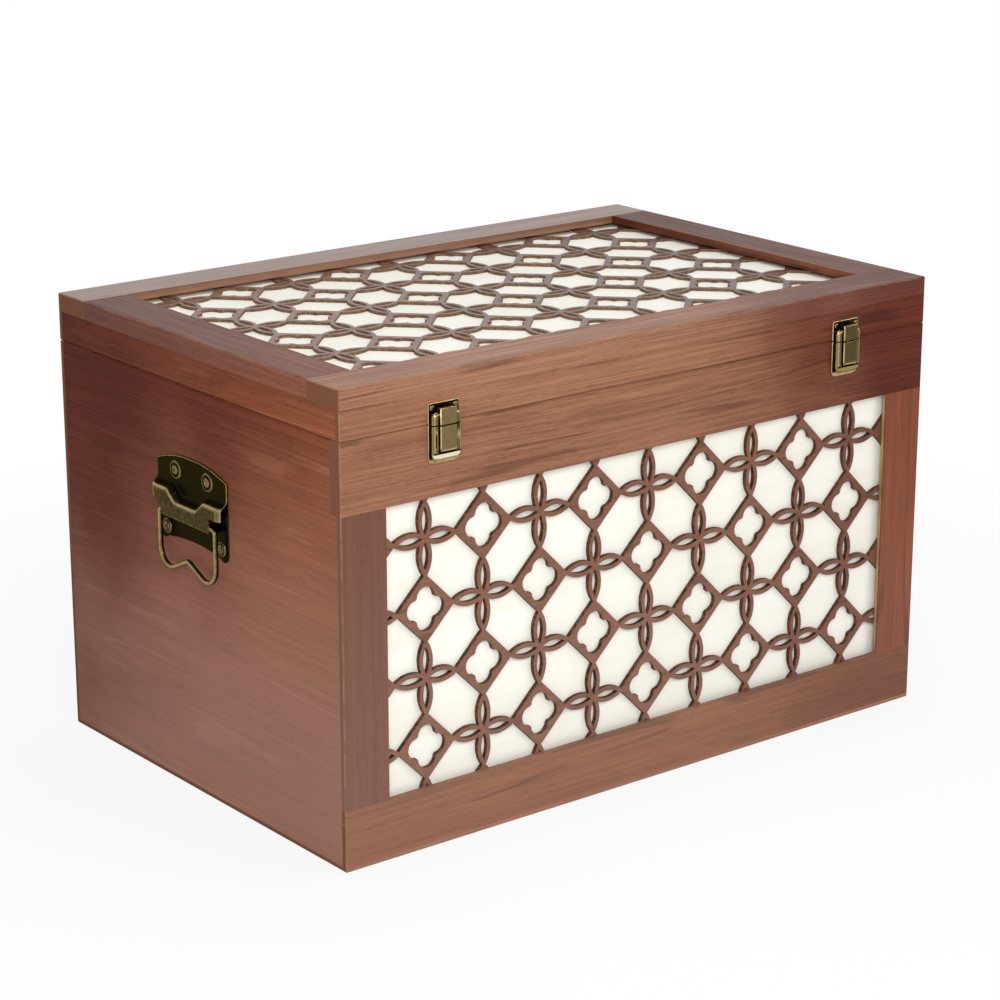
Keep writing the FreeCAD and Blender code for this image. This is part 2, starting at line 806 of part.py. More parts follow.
def make_bail():
    """A bent wire: two pins turned inward, two legs, two lobes and a raised middle."""
    slope = math.radians(bail_grip_angle)
    # The lobe's lowest point lies above the corner of the leg and the grip line.
    lift = bail_lobe_radius * (math.tan(slope) + 1 / math.cos(slope) - 1)
    corner_z = bail_axis_z - bail_drop - lift
    peak_z = corner_z + bail_leg_half * math.tan(slope)
    half = [(-bail_pin_inner, bail_axis_z), (-bail_leg_half, bail_axis_z), (-bail_leg_half, corner_z)]
    loop = half + [(0, peak_z)] + [(-y, z) for y, z in reversed(half)]
    radii = [0, bail_bend_radius, bail_lobe_radius, bail_peak_radius, bail_lobe_radius, bail_bend_radius, 0]
    points = [on_end(bail_axis_out, y, z) for y, z in loop]
    path = rounded_wire(points, radii, False, bend_steps)
    corners = []
    for side in range(bail_sides):
        angle = 2 * math.pi * (side + 1 / 2) / bail_sides
        away = RIGHT * math.cos(angle) + UP * math.sin(angle)
        corners.append(points[0] + away * bail_wire_radius)
    section = Part.makePolygon(corners + corners[:1])
    mitred = 1
    return one_solid(path.makePipeShell([section], True, False, mitred))


# All nodes

nodes = {
    "bottom_panel": make_bottom_panel(),
    "back_board": make_back_board(),
    "front_top_rail": make_front_top_rail(),
    "front_bottom_rail": make_front_bottom_rail(),
    "front_lattice": make_front_lattice(),
    "front_backing_panel": make_front_backing(),
    "lid_front_board": make_lid_long_board(front_y, 1),
    "lid_back_board": make_lid_long_board(back_y, -1),
    "lid_front_rail": make_lid_long_rail(-opening_half_y, front_y),
    "lid_back_rail": make_lid_long_rail(opening_half_y, back_y),
    "lid_lattice": make_lid_lattice(),
    "lid_backing_panel": make_lid_backing(),
}

# Pieces that come in a left and a right copy
paired = {
    "side_board": make_side_board(),
    "front_stile": make_front_stile(),
    "lid_side_board": make_lid_side_board(),
    "lid_side_rail": make_lid_side_rail(),
    "handle_back_plate": make_handle_back_plate(),
    "handle_cover": make_handle_cover(),
    "bail": make_bail(),
}
for name, shape in paired.items():
    nodes["left_" + name] = shape
    nodes["right_" + name] = mirrored(shape)

for side, x in zip(("left", "right"), hinge_places):
    nodes[side + "_hinge_lower_leaf"] = make_hinge_leaf(x, -1)
    nodes[side + "_hinge_upper_leaf"] = make_hinge_leaf(x, 1)

for side, x in zip(("left", "right"), latch_places):
    nodes[side + "_latch_keeper"] = make_latch_keeper(x)
    nodes[side + "_latch_base"] = make_latch_base(x)
    nodes[side + "_latch_lever"] = make_latch_lever(x)

os.makedirs("parts", exist_ok=True)
for name, shape in nodes.items():
    shape.exportStep("parts/" + name + ".step")
print(len(nodes), "nodes")
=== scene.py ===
"""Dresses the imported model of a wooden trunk: boards, fretwork, latches, handles, hinges and stage."""

import json
import math

import bmesh
import bpy
from bpy.props import FloatProperty, FloatVectorProperty, IntProperty, PointerProperty
from mathutils import Matrix, Vector


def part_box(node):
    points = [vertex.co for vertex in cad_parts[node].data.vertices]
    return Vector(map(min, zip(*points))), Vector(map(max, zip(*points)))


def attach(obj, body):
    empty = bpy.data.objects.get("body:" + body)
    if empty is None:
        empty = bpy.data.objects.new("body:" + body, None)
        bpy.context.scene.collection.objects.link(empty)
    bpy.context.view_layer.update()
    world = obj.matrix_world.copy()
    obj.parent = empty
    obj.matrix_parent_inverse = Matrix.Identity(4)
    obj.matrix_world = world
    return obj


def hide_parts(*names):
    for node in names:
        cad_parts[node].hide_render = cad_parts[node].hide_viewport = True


bl_info = {
    "name": "Fretwork Trunk",
    "version": (1, 0, 0),
    "blender": (4, 5, 0),
    "location": "View3D > Sidebar > Trunk",
    "description": "Builds the finished look of a wooden trunk with a fretwork front and lid",
    "category": "Add Mesh",
}

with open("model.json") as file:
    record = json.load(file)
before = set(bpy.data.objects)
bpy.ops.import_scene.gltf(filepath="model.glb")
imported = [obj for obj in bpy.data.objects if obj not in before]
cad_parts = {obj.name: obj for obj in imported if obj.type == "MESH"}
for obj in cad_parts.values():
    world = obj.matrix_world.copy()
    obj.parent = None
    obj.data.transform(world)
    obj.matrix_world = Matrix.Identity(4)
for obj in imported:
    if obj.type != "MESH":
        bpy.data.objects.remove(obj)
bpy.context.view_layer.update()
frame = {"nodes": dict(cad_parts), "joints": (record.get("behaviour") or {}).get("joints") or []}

MM = 0.001
X, Y, Z = 0, 1, 2
ORIGIN = Vector((0, 0, 0))
RIGHT = Vector((1, 0, 0))
BACK = Vector((0, 1, 0))
UP = Vector((0, 0, 1))
SIDES = ("left", "right")
QUARTER = math.pi / 2
WELD = 0.002 * MM
# Mark on brass faces: rubbed edges and painted highlights above nought, a painted reflection above one,
# dark patina and painted shade below nought.
WEAR_AND_LIGHT = "worn"
# Degrees by which the faces beside an edge turn.
SLANTED = (25, 60)
SQUARE = (60, 170)

TRUNK_LOW, panel_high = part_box("bottom_panel")
TRUNK_HIGH = Vector((panel_high.x, panel_high.y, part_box("lid_front_rail")[1].z))
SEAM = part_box("front_top_rail")[1].z


def number(label, description, default, **options):
    """A number."""
    return FloatProperty(name=label, description=description, default=default, **options)


def length(label, description, default):
    """A size in metres that the sidebar shows in the scene's unit."""
    return number(label, description, default, unit="LENGTH", precision=5)


def angle(label, description, degrees):
    """An angle."""
    return number(label, description, math.radians(degrees), subtype="ANGLE")


def colour(label, description, default):
    """A linear colour."""
    return FloatVectorProperty(
        name=label, description=description, default=default, size=3, subtype="COLOR", min=0, max=1
    )


class FretworkSettings(bpy.types.PropertyGroup):
    """Sizes of the pierced pattern: flowers of four petals between diamonds with four-lobed holes."""

    pitch: length("Pitch", "From a flower to the next diamond", 51.5 * MM)
    petal_half_width: length("Petal half width", "Half the width of a petal at its middle", 5.9 * MM)
    petal_band: length("Petal band", "Width of the band round a petal's slit", 3.2 * MM)
    petal_overlap: length("Petal overlap", "How far a petal's arcs run past its ends", 3.2 * MM)
    lobe_radius: length("Lobe radius", "Radius of the lobes of a diamond's hole", 7.7 * MM)
    lobe_square: length("Lobe square", "Half the side of the square between the lobes", 8.6 * MM)
    lid_thickness: length("Lid sheet", "Thickness of the sheet in the lid", 2.3 * MM)
    arc_steps: IntProperty(name="Arc steps", description="Chords along each arc", default=12, min=2)


class WoodSettings(bpy.types.PropertyGroup):
    """Colours of the stained boards, the fretwork and the painted boards behind it."""

    light: colour("Light", "Stain between the grain lines", (0.385, 0.182, 0.100))
    ruddy: colour("Ruddy", "Redder stain of the left upright and the bottom rail", (0.365, 0.142, 0.068))
    russet: colour("Russet", "Red stain of the ends and the right upright", (0.345, 0.102, 0.043))
    dark: colour("Dark", "Stain in the grain lines", (0.200, 0.080, 0.044))
    # Pore colour, also painted as shade on the lid's tops and in the recess inside its side rails.
    pore: colour("Pores", "Stain that settled in the pores", (0.085, 0.030, 0.017))
    streak: colour("Streak", "Thin pale lines along the grain of the ends", (0.380, 0.150, 0.080))
    # Painted shade: this multiplies the stain where the light falls off across a board.
    deep: colour("Falloff shade", "What multiplies the stain where it went on thickest", (0.36, 0.14, 0.09))
    dusky: colour("Dusky", "Darker stain of the left upright", (0.150, 0.062, 0.040))
    # Painted sheen: a paler, greyer tone near the floor.
    floor_sheen: colour("Floor sheen", "Paler, greyer tone low down on the trunk", (0.540, 0.370, 0.310))
    end_grain: colour("End grain", "Stain on sawn ends", (0.230, 0.095, 0.060))
    # Also lightens the trunk's arrises, as wear and a painted highlight.
    edge_tone: colour("Raw edge", "Bare wood on the inner edges of the front frame", (0.420, 0.260, 0.140))
    reveal: colour("Lid reveal", "Thin stain inside the lid's back rail", (0.300, 0.135, 0.062))
    fret_face: colour("Fretwork face", "Stain on the face of the fretwork", (0.240, 0.104, 0.063))
    fret_edge: colour("Fretwork edge", "Scorched edge of the front's cut-outs", (0.028, 0.011, 0.007))
    fret_wall: colour("Fretwork wall", "Warm edge of the lid's cut-outs", (0.270, 0.146, 0.082))
    ivory: colour("Ivory", "Paint on the boards behind the fretwork", (0.930, 0.920, 0.840))


class HardwareSettings(bpy.types.PropertyGroup):
    """Sizes and colours of the latches, handles, hinges and screws."""

    edge: length("Edge", "Radius on the edges of latch levers and stamped covers", 0.25 * MM)
    lever_depth: number("Lever depth", "Share of a lever's depth that shows", 0.8)
    plate_edge: length("Plate edge", "Radius on the edges of the handles' plates", 0.38 * MM)
    latch_edge: length("Latch edge", "Radius on the edges of the latches' plates", 0.55 * MM)
    rim_round: length("Rim round", "Rounding of the latches' raised rims", 0.6 * MM)
    sheet: length("Sheet", "Thickness of the handles' sheet metal", 0.8 * MM)
    crown: length("Crown", "Rise of the arched top of a handle", 8.0 * MM)
    shoulder: length("Shoulder", "From a handle's top to the bend at its shoulders", 22.46 * MM)
    roof_fall: length("Roof fall", "How far a cover's roof falls towards the front", 4.24 * MM)
    dip: length("Dip", "How much lower the middle of a cover is than its shoulders", 8.4 * MM)
    dip_half: length("Dip half", "Half the width of the low middle", 13.0 * MM)
    dip_slope: length("Dip slope", "Width of the slope beside the low middle", 10.5 * MM)
    notch: length("Notch", "From a handle's top to the notches of its skirt", 35.5 * MM)
    skirt_half: length("Skirt half", "Half the width of the skirt between its notches", 32.0 * MM)
    stamped: length("Stamped bend", "Radius of the bends of the stamped covers", 4.8 * MM)
    wire_radius: length("Wire radius", "Half the thickness of a bail's wire", 1.8 * MM)
    handle_screw: length("Handle screw", "Radius of the heads of the handle screws", 3.7 * MM)
    handle_dish: length("Handle dish", "Radius of the pressed ring round a handle screw", 7.2 * MM)
    ear_dish: length("Ear dish", "Radius of the pressed ring round an ear's screw", 5.8 * MM)
    latch_screw: length("Latch screw", "Radius of the heads of the keeper screws", 2.0 * MM)
    hinge_screw: length("Hinge screw", "Radius of the heads of the hinge screws", 2.6 * MM)
    patina: colour("Patina", "Dark skin in the hollows", (0.010, 0.0094, 0.0064))
    bronze: colour("Bronze", "Open faces", (0.160, 0.116, 0.052))
    # Rubbed edges, and the painted highlights on edges and bends.
    bright: colour("Bright", "Rubbed edges", (0.620, 0.470, 0.210))
    # Painted reflection, on the left latch's lower lip.
    polished: colour("Polished", "Edges polished by use", (0.920, 0.860, 0.700))


class StageSettings(bpy.types.PropertyGroup):
    """Camera, lamps and floor."""

    azimuth: angle("Azimuth", "How far left of the front the camera stands", 38.287)
    elevation: angle("Elevation", "How far below level the camera looks", 17.047)
    camera_place: FloatVectorProperty(
        name="Camera place", description="Where the camera stands", default=(-1.34185, -1.70363, 0.84106),
        size=3, subtype="TRANSLATION", unit="LENGTH"
    )
    lens: number("Lens", "Focal length in millimetres", 103.556, min=1)
    key_power: number("Key power", "Power of the large lamp beside the camera", 17.0)
    top_power: number("Top power", "Power of the lamp overhead", 10.0)
    fill_power: number("Fill power", "Power of the lamp on the right", 6.8)
    sky: number("Sky", "Strength of the soft light from all round", 0.38)
    ceiling: number("Ceiling", "How bright the ceiling looks in the metal", 0.25)
    floor: colour("Floor", "Pale floor", (0.86, 0.86, 0.86))


class Tree:
    """Adds and links nodes in one node tree."""

    def __init__(self, tree):
        self.tree = tree

    def fill(self, node, inputs):
        """Sets or links a node's inputs, each named by its label or its place."""
        for key in inputs:
            if isinstance(inputs[key], bpy.types.NodeSocket):
                self.tree.links.new(inputs[key], node.inputs[key])
            else:
                node.inputs[key].default_value = inputs[key]

    def add(self, kind, inputs=(), **settings):
        """Adds a node with its settings and inputs, and gives its outputs."""
        node = self.tree.nodes.new(kind)
        for key, value in settings.items():
            setattr(node, key, value)
        self.fill(node, inputs)
        return node.outputs

    def math(self, operation, first, second=0.0):
        return self.add("ShaderNodeMath", {0: first, 1: second}, operation=operation)[0]

    def plus(self, first, second):
        return self.math("ADD", first, second)

    def less(self, first, second):
        return self.math("SUBTRACT", first, second)

    def times(self, first, second):
        return self.math("MULTIPLY", first, second)

    def size(self, value):
        return self.math("ABSOLUTE", value)

    def larger(self, first, second):
        return self.math("MAXIMUM", first, second)

    def smaller(self, first, second):
        return self.math("MINIMUM", first, second)

    def blend(self, share, first, second, mode="MIX"):
        inputs = {0: share, 6: first, 7: second}
        return self.add("ShaderNodeMix", inputs, data_type="RGBA", blend_type=mode)[2]

    def ramp(self, value, low, high, to_low=0.0, to_high=1.0):
        inputs = dict(enumerate((value, low, high, to_low, to_high)))
        return self.add("ShaderNodeMapRange", inputs, interpolation_type="SMOOTHSTEP")[0]

    def vector(self, operation, first, second=(0, 0, 0)):
        return self.add("ShaderNodeVectorMath", {0: first, 1: second}, operation=operation)

    def noise(self, vector, along, across, detail=2.0, roughness=0.5, deep=None):
        """Noise with so many waves per metre along the vector's X, its Y and its Z."""
        waves = (along, across, across if deep is None else deep)
        place = self.vector("MULTIPLY", vector, waves)["Vector"]
        inputs = {"Vector": place, "Scale": 1.0, "Detail": detail, "Roughness": roughness}
        return self.add("ShaderNodeTexNoise", inputs)[0]

    def split(self, vector):
        return self.add("ShaderNodeSeparateXYZ", {0: vector})

    def bump(self, height, strength, distance):
        inputs = {"Strength": strength, "Distance": distance, "Height": height}
        return self.add("ShaderNodeBump", inputs)[0]

    def group(self, name, build, **values):
        """A group node. The group itself is built when it is first asked for."""
        tree = bpy.data.node_groups.get(name) or build(name)
        inputs = {key.capitalize(): value for key, value in values.items()}
        return self.add("ShaderNodeGroup", inputs, node_tree=tree)


def solid(rgb):
    """A colour with full alpha for a socket."""
    return (rgb[0], rgb[1], rgb[2], 1.0)


FLOAT = "NodeSocketFloat"
COLOUR = "NodeSocketColor"
VECTOR = "NodeSocketVector"


def new_group(name, takes, gives):
    """An empty node group with named sockets: its nodes, what it is given and its output node."""
    tree = bpy.data.node_groups.new(name, "ShaderNodeTree")
    for way, sockets in (("INPUT", takes), ("OUTPUT", gives)):
        for label, kind in sockets.items():
            tree.interface.new_socket(label, in_out=way, socket_type=kind)
    nodes = Tree(tree)
    return nodes, nodes.add("NodeGroupInput"), tree.nodes.new("NodeGroupOutput")


def grain_group(name):
    """Stained fine-pored wood whose grain runs along the vector's X."""
    takes = {"Vector": VECTOR, "Light": COLOUR, "Dark": COLOUR, "Pore": COLOUR, "Line": COLOUR}
    gives = {"Color": COLOUR, "Roughness": FLOAT, "Height": FLOAT}
    nodes, given, leave = new_group(name, takes, gives)
    vector = given["Vector"]
    wander = nodes.less(nodes.noise(vector, 2.5, 8.0, 1.0), 0.5)
    bow = nodes.add("ShaderNodeCombineXYZ", {Y: nodes.times(wander, 0.020), Z: nodes.times(wander, 0.012)})
    bent = nodes.vector("ADD", vector, bow[0])["Vector"]
    bands = nodes.ramp(nodes.noise(bent, 1.4, 210.0, 3.0, 0.55), 0.35, 0.67)
    threads = nodes.ramp(nodes.noise(bent, 7.0, 720.0, 2.0, 0.6), 0.40, 0.62)
    specks = nodes.ramp(nodes.noise(bent, 130.0, 1700.0, 1.0), 0.55, 0.70)
    clouds = nodes.ramp(nodes.noise(vector, 3.2, 7.0, 3.0, 0.55), 0.32, 0.68, 0.0, 0.30)
    tone = nodes.plus(nodes.times(bands, 0.30), nodes.times(threads, 0.42))
    stain = nodes.blend(nodes.plus(tone, clouds), given["Dark"], given["Light"])
    contour = nodes.less(nodes.noise(bent, 0.7, 42.0, 1.0), 0.5)
    line = nodes.ramp(nodes.size(contour), 0.008, 0.030, 1.0, 0.0)
    broken = nodes.ramp(nodes.noise(vector, 12.0, 40.0), 0.46, 0.60, 0.0, 0.55)
    stain = nodes.blend(nodes.times(line, broken), stain, given["Line"])
    pores = nodes.times(specks, nodes.ramp(bands, 0.0, 1.0, 0.42, 0.22))
    rough = nodes.ramp(threads, 0.0, 1.0, 0.46, 0.36)
    nodes.fill(leave, {
        "Color": nodes.blend(pores, stain, given["Pore"]),
        "Roughness": nodes.plus(rough, nodes.times(pores, 0.20)),
        "Height": nodes.less(nodes.times(threads, 0.4), pores),
    })
    return nodes.tree


def arris_group(name):
    """A mask of the trunk's outside arrises, and thinly of the seam's edges, broken as by handling, for
    edge wear and a painted highlight.
    """
    nodes, given, leave = new_group(name, {"Vector": VECTOR}, {"Mask": FLOAT})
    worn, whole = 0.5 * MM, 1.1 * MM
    along = nodes.split(given["Vector"])
    away = [nodes.less(half, nodes.size(socket)) for socket, half in zip(along, TRUNK_HIGH.xy)]
    top = nodes.less(TRUNK_HIGH.z, along[Z])
    seam = nodes.plus(nodes.size(nodes.less(along[Z], SEAM)), worn)
    foot = nodes.size(along[Z])
    away.append(nodes.smaller(nodes.smaller(top, seam), foot))
    near = [nodes.ramp(distance, worn, whole, 1.0, 0.0) for distance in away]
    count = nodes.plus(nodes.plus(near[X], near[Y]), near[Z])
    edge = nodes.ramp(count, 1.2, 1.9)
    broken = nodes.ramp(nodes.noise(given["Vector"], 60.0, 60.0, 3.0, 0.65), 0.42, 0.62)
    nodes.fill(leave, {"Mask": nodes.times(edge, nodes.ramp(broken, 0.0, 1.0, 0.25, 0.9))})
    return nodes.tree


def patina_group(name):
    """Antique brass: a dark skin in the hollows and in painted shade, bronze faces, rubbed edges with
    painted highlights, and a painted reflection where the mark passes one.
    """
    takes = {"Vector": VECTOR, "Worn": FLOAT, "Raised": FLOAT}
    takes.update({label: COLOUR for label in ("Patina", "Bronze", "Bright", "Polished")})
    gives = {"Color": COLOUR, "Roughness": FLOAT, "Height": FLOAT}
    nodes, given, leave = new_group(name, takes, gives)
    spots = nodes.noise(given["Vector"], 260.0, 260.0, 4.0, 0.65)
    brushed = nodes.noise(given["Vector"], 900.0, 900.0, 2.0, 0.6, 120.0)
    rubbed = nodes.plus(given["Raised"], nodes.ramp(spots, 0.30, 0.75, -0.18, 0.18))
    rubbed = nodes.plus(rubbed, nodes.ramp(brushed, 0.35, 0.70, -0.08, 0.08))
    skin = nodes.blend(nodes.ramp(rubbed, 0.0, 1.0), given["Patina"], given["Bronze"])
    sunk = nodes.larger(nodes.times(given["Worn"], -1.0), 0.0)
    skin = nodes.blend(sunk, skin, given["Patina"])
    patchy = nodes.ramp(spots, 0.25, 0.55, 0.6, 1.0)
    edge = nodes.smaller(nodes.larger(given["Worn"], 0.0), 1.0)
    skin = nodes.blend(nodes.times(edge, patchy), skin, given["Bright"])
    shine = nodes.larger(nodes.less(given["Worn"], 1.0), 0.0)
    nodes.fill(leave, {
        "Color": nodes.blend(shine, skin, given["Polished"]),
        "Roughness": nodes.ramp(spots, 0.25, 0.75, 0.26, 0.38),
        "Height": nodes.plus(spots, nodes.times(brushed, 0.5)),
    })
    return nodes.tree


def blank_material(name):
    """A material with a Principled BSDF, its nodes, its shader and its Object coordinates."""
    material = bpy.data.materials.new(name)
    material.use_nodes = True
    nodes = Tree(material.node_tree)
    shader = material.node_tree.nodes["Principled BSDF"]
    place = nodes.add("ShaderNodeTexCoord")["Object"]
    return material, nodes, shader, place


def outermost(nodes, distance, limit, amount=1.0):
    """A mask of the face that lies at a limit."""
    start, full = limit - 0.5 * MM, limit - 0.2 * MM
    return nodes.ramp(distance, start, full, 0.0, amount)


GRAIN_TURNS = {"X": (0, 0, 0), "Y": (0, 0, -QUARTER), "Z": (0, QUARTER, 0)}


def wood_material(name, grain, offset, light, dark, edge_tone=None, painted_shade=None, pale_lines=False,
                  polish=(0.15, 0.0), top_shade=0.0, floor_sheen_share=0.12, sawn_ends=False):
    """Stained wood with its own stretch of grain, and arrises lightened by wear and a painted highlight.

    The inner-edge tuple names an axis, the distance of an inner edge from the middle along it, the depth
    axis, the two depths between which the edge turns to another colour, and that colour. The painted
    shade names a direction, the two distances along it between which painted shade darkens the stain as
    the light falls off, and how much it darkens. polish gives the strength of the gloss and of the varnish.
    The top's painted shade says how much darker the top of the lid is painted, the floor sheen share how
    much a painted sheen makes the wood paler and greyer near the floor, and sawn_ends whether dull end
    grain shows on the ends.
    """
    wood = bpy.context.scene.trunk_wood
    material, nodes, shader, place = blank_material(name)
    turned = {"Vector": place, "Location": offset, "Rotation": GRAIN_TURNS[grain]}
    stained = nodes.group(
        "Stained grain", grain_group, vector=nodes.add("ShaderNodeMapping", turned)[0], light=solid(light),
        dark=solid(dark), pore=solid(wood.pore), line=solid(wood.streak if pale_lines else wood.pore)
    )
    along = nodes.split(place)
    # Painted sheen: paler and greyer towards the floor.
    sheen_low, sheen_high = 30 * MM, 340 * MM
    low_down = nodes.ramp(along[Z], sheen_low, sheen_high, floor_sheen_share, 0.0)
    tint = nodes.blend(low_down, stained["Color"], solid(wood.floor_sheen))
    # Painted shade where the light falls off along a direction.
    if painted_shade:
        direction, low, high, share = painted_shade
        wander = 35 * MM
        reach = nodes.vector("DOT_PRODUCT", place, direction)["Value"]
        uneven = nodes.ramp(nodes.noise(place, 7.0, 7.0), 0.3, 0.7, -wander, wander)
        far = nodes.ramp(nodes.plus(reach, uneven), low, high, 0.0, share)
        tint = nodes.blend(far, tint, solid(wood.deep), "MULTIPLY")
    # Painted shade on the top face of the lid.
    if top_shade:
        tint = nodes.blend(outermost(nodes, along[Z], TRUNK_HIGH.z, top_shade), tint, solid(wood.pore))
    gloss, varnish = polish
    if sawn_ends:
        ends = outermost(nodes, nodes.size(along[X]), TRUNK_HIGH.x)
        specks = Vector(wood.end_grain) * 0.82
        cut = nodes.blend(nodes.ramp(stained["Height"], -0.6, 0.4), solid(specks), solid(wood.end_grain))
        tint = nodes.blend(ends, tint, cut)
        gloss = nodes.ramp(ends, 0.0, 1.0, gloss, 0.0)
        if varnish:
            varnish = nodes.ramp(ends, 0.0, 1.0, varnish, 0.0)
    # An inner edge in another colour: bare wood on the front frame, a thin stain in the lid's back rail,
    # painted shade in the lid's side rails.
    if edge_tone:
        axis, edge, depth, start, full, edge_colour = edge_tone
        on_edge, off_edge = 0.2 * MM, 0.4 * MM
        away = along[axis] if axis == Z else nodes.size(along[axis])
        edge_mask = nodes.ramp(nodes.size(nodes.less(away, edge)), on_edge, off_edge, 1.0, 0.0)
        edge_mask = nodes.times(edge_mask, nodes.ramp(along[depth], start, full))
        patchy = nodes.ramp(nodes.noise(place, 25.0, 25.0), 0.35, 0.6, 0.35, 0.95)
        tint = nodes.blend(nodes.times(edge_mask, patchy), tint, solid(edge_colour))
    # Lighter arrises: edge wear and a painted highlight.
    worn = nodes.group("Arris wear and highlight", arris_group, vector=place)["Mask"]
    nodes.fill(shader, {
        "Base Color": nodes.blend(nodes.times(worn, 0.4), tint, solid(wood.edge_tone)),
        "Roughness": stained["Roughness"],
        "IOR": 1.46,
        "Specular IOR Level": gloss,
        "Coat Weight": varnish,
        "Coat Roughness": 0.30,
        "Normal": nodes.bump(stained["Height"], 0.25, 0.15 * MM),
    })
    return material


def fret_edge_material(name, scorched, wood):
    """The edge left by the cutter, from scorched to bare wood."""
    material, nodes, shader, place = blank_material(name)
    streaks = nodes.noise(place, 420.0, 420.0, 3.0, 0.6)
    nodes.fill(shader, {
        "Base Color": nodes.blend(nodes.ramp(streaks, 0.35, 0.75), solid(scorched), solid(wood)),
        "Roughness": nodes.ramp(streaks, 0.3, 0.7, 0.55, 0.75),
        "Specular IOR Level": 0.2,
        "Normal": nodes.bump(streaks, 0.2, 0.1 * MM),
    })
    return material


def ivory_material():
    """Thin ivory paint with the board's grain just showing."""
    ivory = Vector(bpy.context.scene.trunk_wood.ivory)
    warm = ivory * 0.93
    warm.y *= 0.985
    warm.z *= 0.93
    material, nodes, shader, place = blank_material("ivory_paint")
    flow = nodes.noise(place, 4.0, 46.0, 3.0, 0.6)
    cloud = nodes.ramp(nodes.noise(place, 14.0, 14.0), 0.35, 0.70, 0.0, 0.45)
    shade = nodes.plus(nodes.ramp(flow, 0.35, 0.70, 0.0, 0.55), cloud)
    nodes.fill(shader, {
        "Base Color": nodes.blend(shade, solid(ivory), solid(warm)),
        "Roughness": nodes.ramp(flow, 0.3, 0.7, 0.50, 0.62),
        "Normal": nodes.bump(flow, 0.08, 0.1 * MM),
    })
    return material


def brass_material(name, axis, low, high, raised_low, raised_high):
    """Aged brass, dark near the wood and more rubbed farther out, between two distances along an axis."""
    hardware = bpy.context.scene.trunk_hardware
    material, nodes, shader, place = blank_material(name)
    raised = nodes.ramp(nodes.size(nodes.split(place)[axis]), low, high, raised_low, raised_high)
    worn = nodes.add("ShaderNodeAttribute", attribute_name=WEAR_AND_LIGHT)["Fac"]
    aged = nodes.group(
        "Aged brass", patina_group, vector=place, worn=worn, raised=raised, patina=solid(hardware.patina),
        bronze=solid(hardware.bronze), bright=solid(hardware.bright), polished=solid(hardware.polished)
    )
    nodes.fill(shader, {
        "Base Color": aged["Color"],
        "Roughness": aged["Roughness"],
        "Metallic": 1.0,
        "Specular Tint": (0.62, 0.57, 0.45, 1.0),
        "Normal": nodes.bump(aged["Height"], 0.12, 0.1 * MM),
    })
    return material


def verts_in(items):
    """The vertices among what an operator made."""
    return [item for item in items if isinstance(item, bmesh.types.BMVert)]


def edges_in(items):
    """The edges among what an operator made."""
    return [item for item in items if isinstance(item, bmesh.types.BMEdge)]


def edges_of(verts):
    """The edges that meet at some vertices."""
    return list({edge for vert in verts for edge in vert.link_edges})


def everything(bm):
    """All that a bmesh holds."""
    return bm.verts[:] + bm.edges[:] + bm.faces[:]


def to_mesh(bm, name):
    """Turns a bmesh into a mesh."""
    mesh = bpy.data.meshes.new(name)
    bm.to_mesh(mesh)
    bm.free()
    return mesh


def keep_piece(bm, name, materials, body, nodes=(), flat_faces=False):
    """Turns a bmesh into a finished piece that rides on a body and stands for CAD nodes."""
    for face in bm.faces:
        face.smooth = True
    mesh = to_mesh(bm, name)
    mesh.set_sharp_from_angle(angle=math.radians(32))
    for material in materials:
        mesh.materials.append(material)
    piece = bpy.data.objects.new(name, mesh)
    bpy.context.scene.collection.objects.link(piece)
    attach(piece, body)
    if nodes:
        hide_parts(*nodes)
    if flat_faces:
        shading = piece.modifiers.new("flat_faces", "WEIGHTED_NORMAL")
        shading.keep_sharp = True


def join_flat_faces(bm):
    """Joins up neighbouring faces that lie in one plane."""
    bmesh.ops.dissolve_limit(bm, angle_limit=math.radians(0.5), verts=bm.verts, edges=bm.edges)


def merged_copy(node):
    """A welded copy of a CAD node with flat faces joined up."""
    bm = bmesh.new()
    bm.from_mesh(frame["nodes"][node].data)
    bmesh.ops.remove_doubles(bm, verts=bm.verts, dist=WELD)
    bmesh.ops.recalc_face_normals(bm, faces=bm.faces)
    join_flat_faces(bm)
    bm.faces.layers.float.new(WEAR_AND_LIGHT)
    return bm


def ease_edges(bm, width, turns, segments, mark=1.0, wanted=None):
    """Rounds edges whose faces turn by between two angles, and marks the rounded outer ones as rubbed and
    with a painted highlight.
    """
    layer = bm.faces.layers.float[WEAR_AND_LIGHT]
    low, high = (math.radians(turn) for turn in turns)
    edges = [edge for edge in bm.edges if edge.is_manifold and low < edge.calc_face_angle() < high]
    if wanted:
        edges = [edge for edge in edges if wanted(edge)]
    inner = [edge for edge in edges if not edge.is_convex]
    outer = [edge for edge in edges if edge.is_convex]
    for chosen, value in ((inner, 0.0), (outer, mark)):
        made = bmesh.ops.bevel(
            bm, geom=[edge for edge in chosen if edge.is_valid], offset=width, offset_type="OFFSET",
            segments=segments, profile=0.5, affect="EDGES", clamp_overlap=True, material=-1
        )
        for face in made["faces"]:
            face[layer] = value


def add_mesh(bm, mesh, matrix):
    """Adds a placed copy of a mesh."""
    first = len(bm.verts)
    bm.from_mesh(mesh)
    bm.verts.ensure_lookup_table()
    bmesh.ops.transform(bm, matrix=matrix, verts=bm.verts[first:])


def grow_ring(bm, edges, scale, rise):
    """Extrudes a ring of edges, scales it about the upright axis and lifts it."""
    made = bmesh.ops.extrude_edge_only(bm, edges=edges)["geom"]
    bmesh.ops.scale(bm, vec=(scale, scale, 1), verts=verts_in(made))
    bmesh.ops.translate(bm, vec=UP * rise, verts=verts_in(made))
    return edges_in(made)


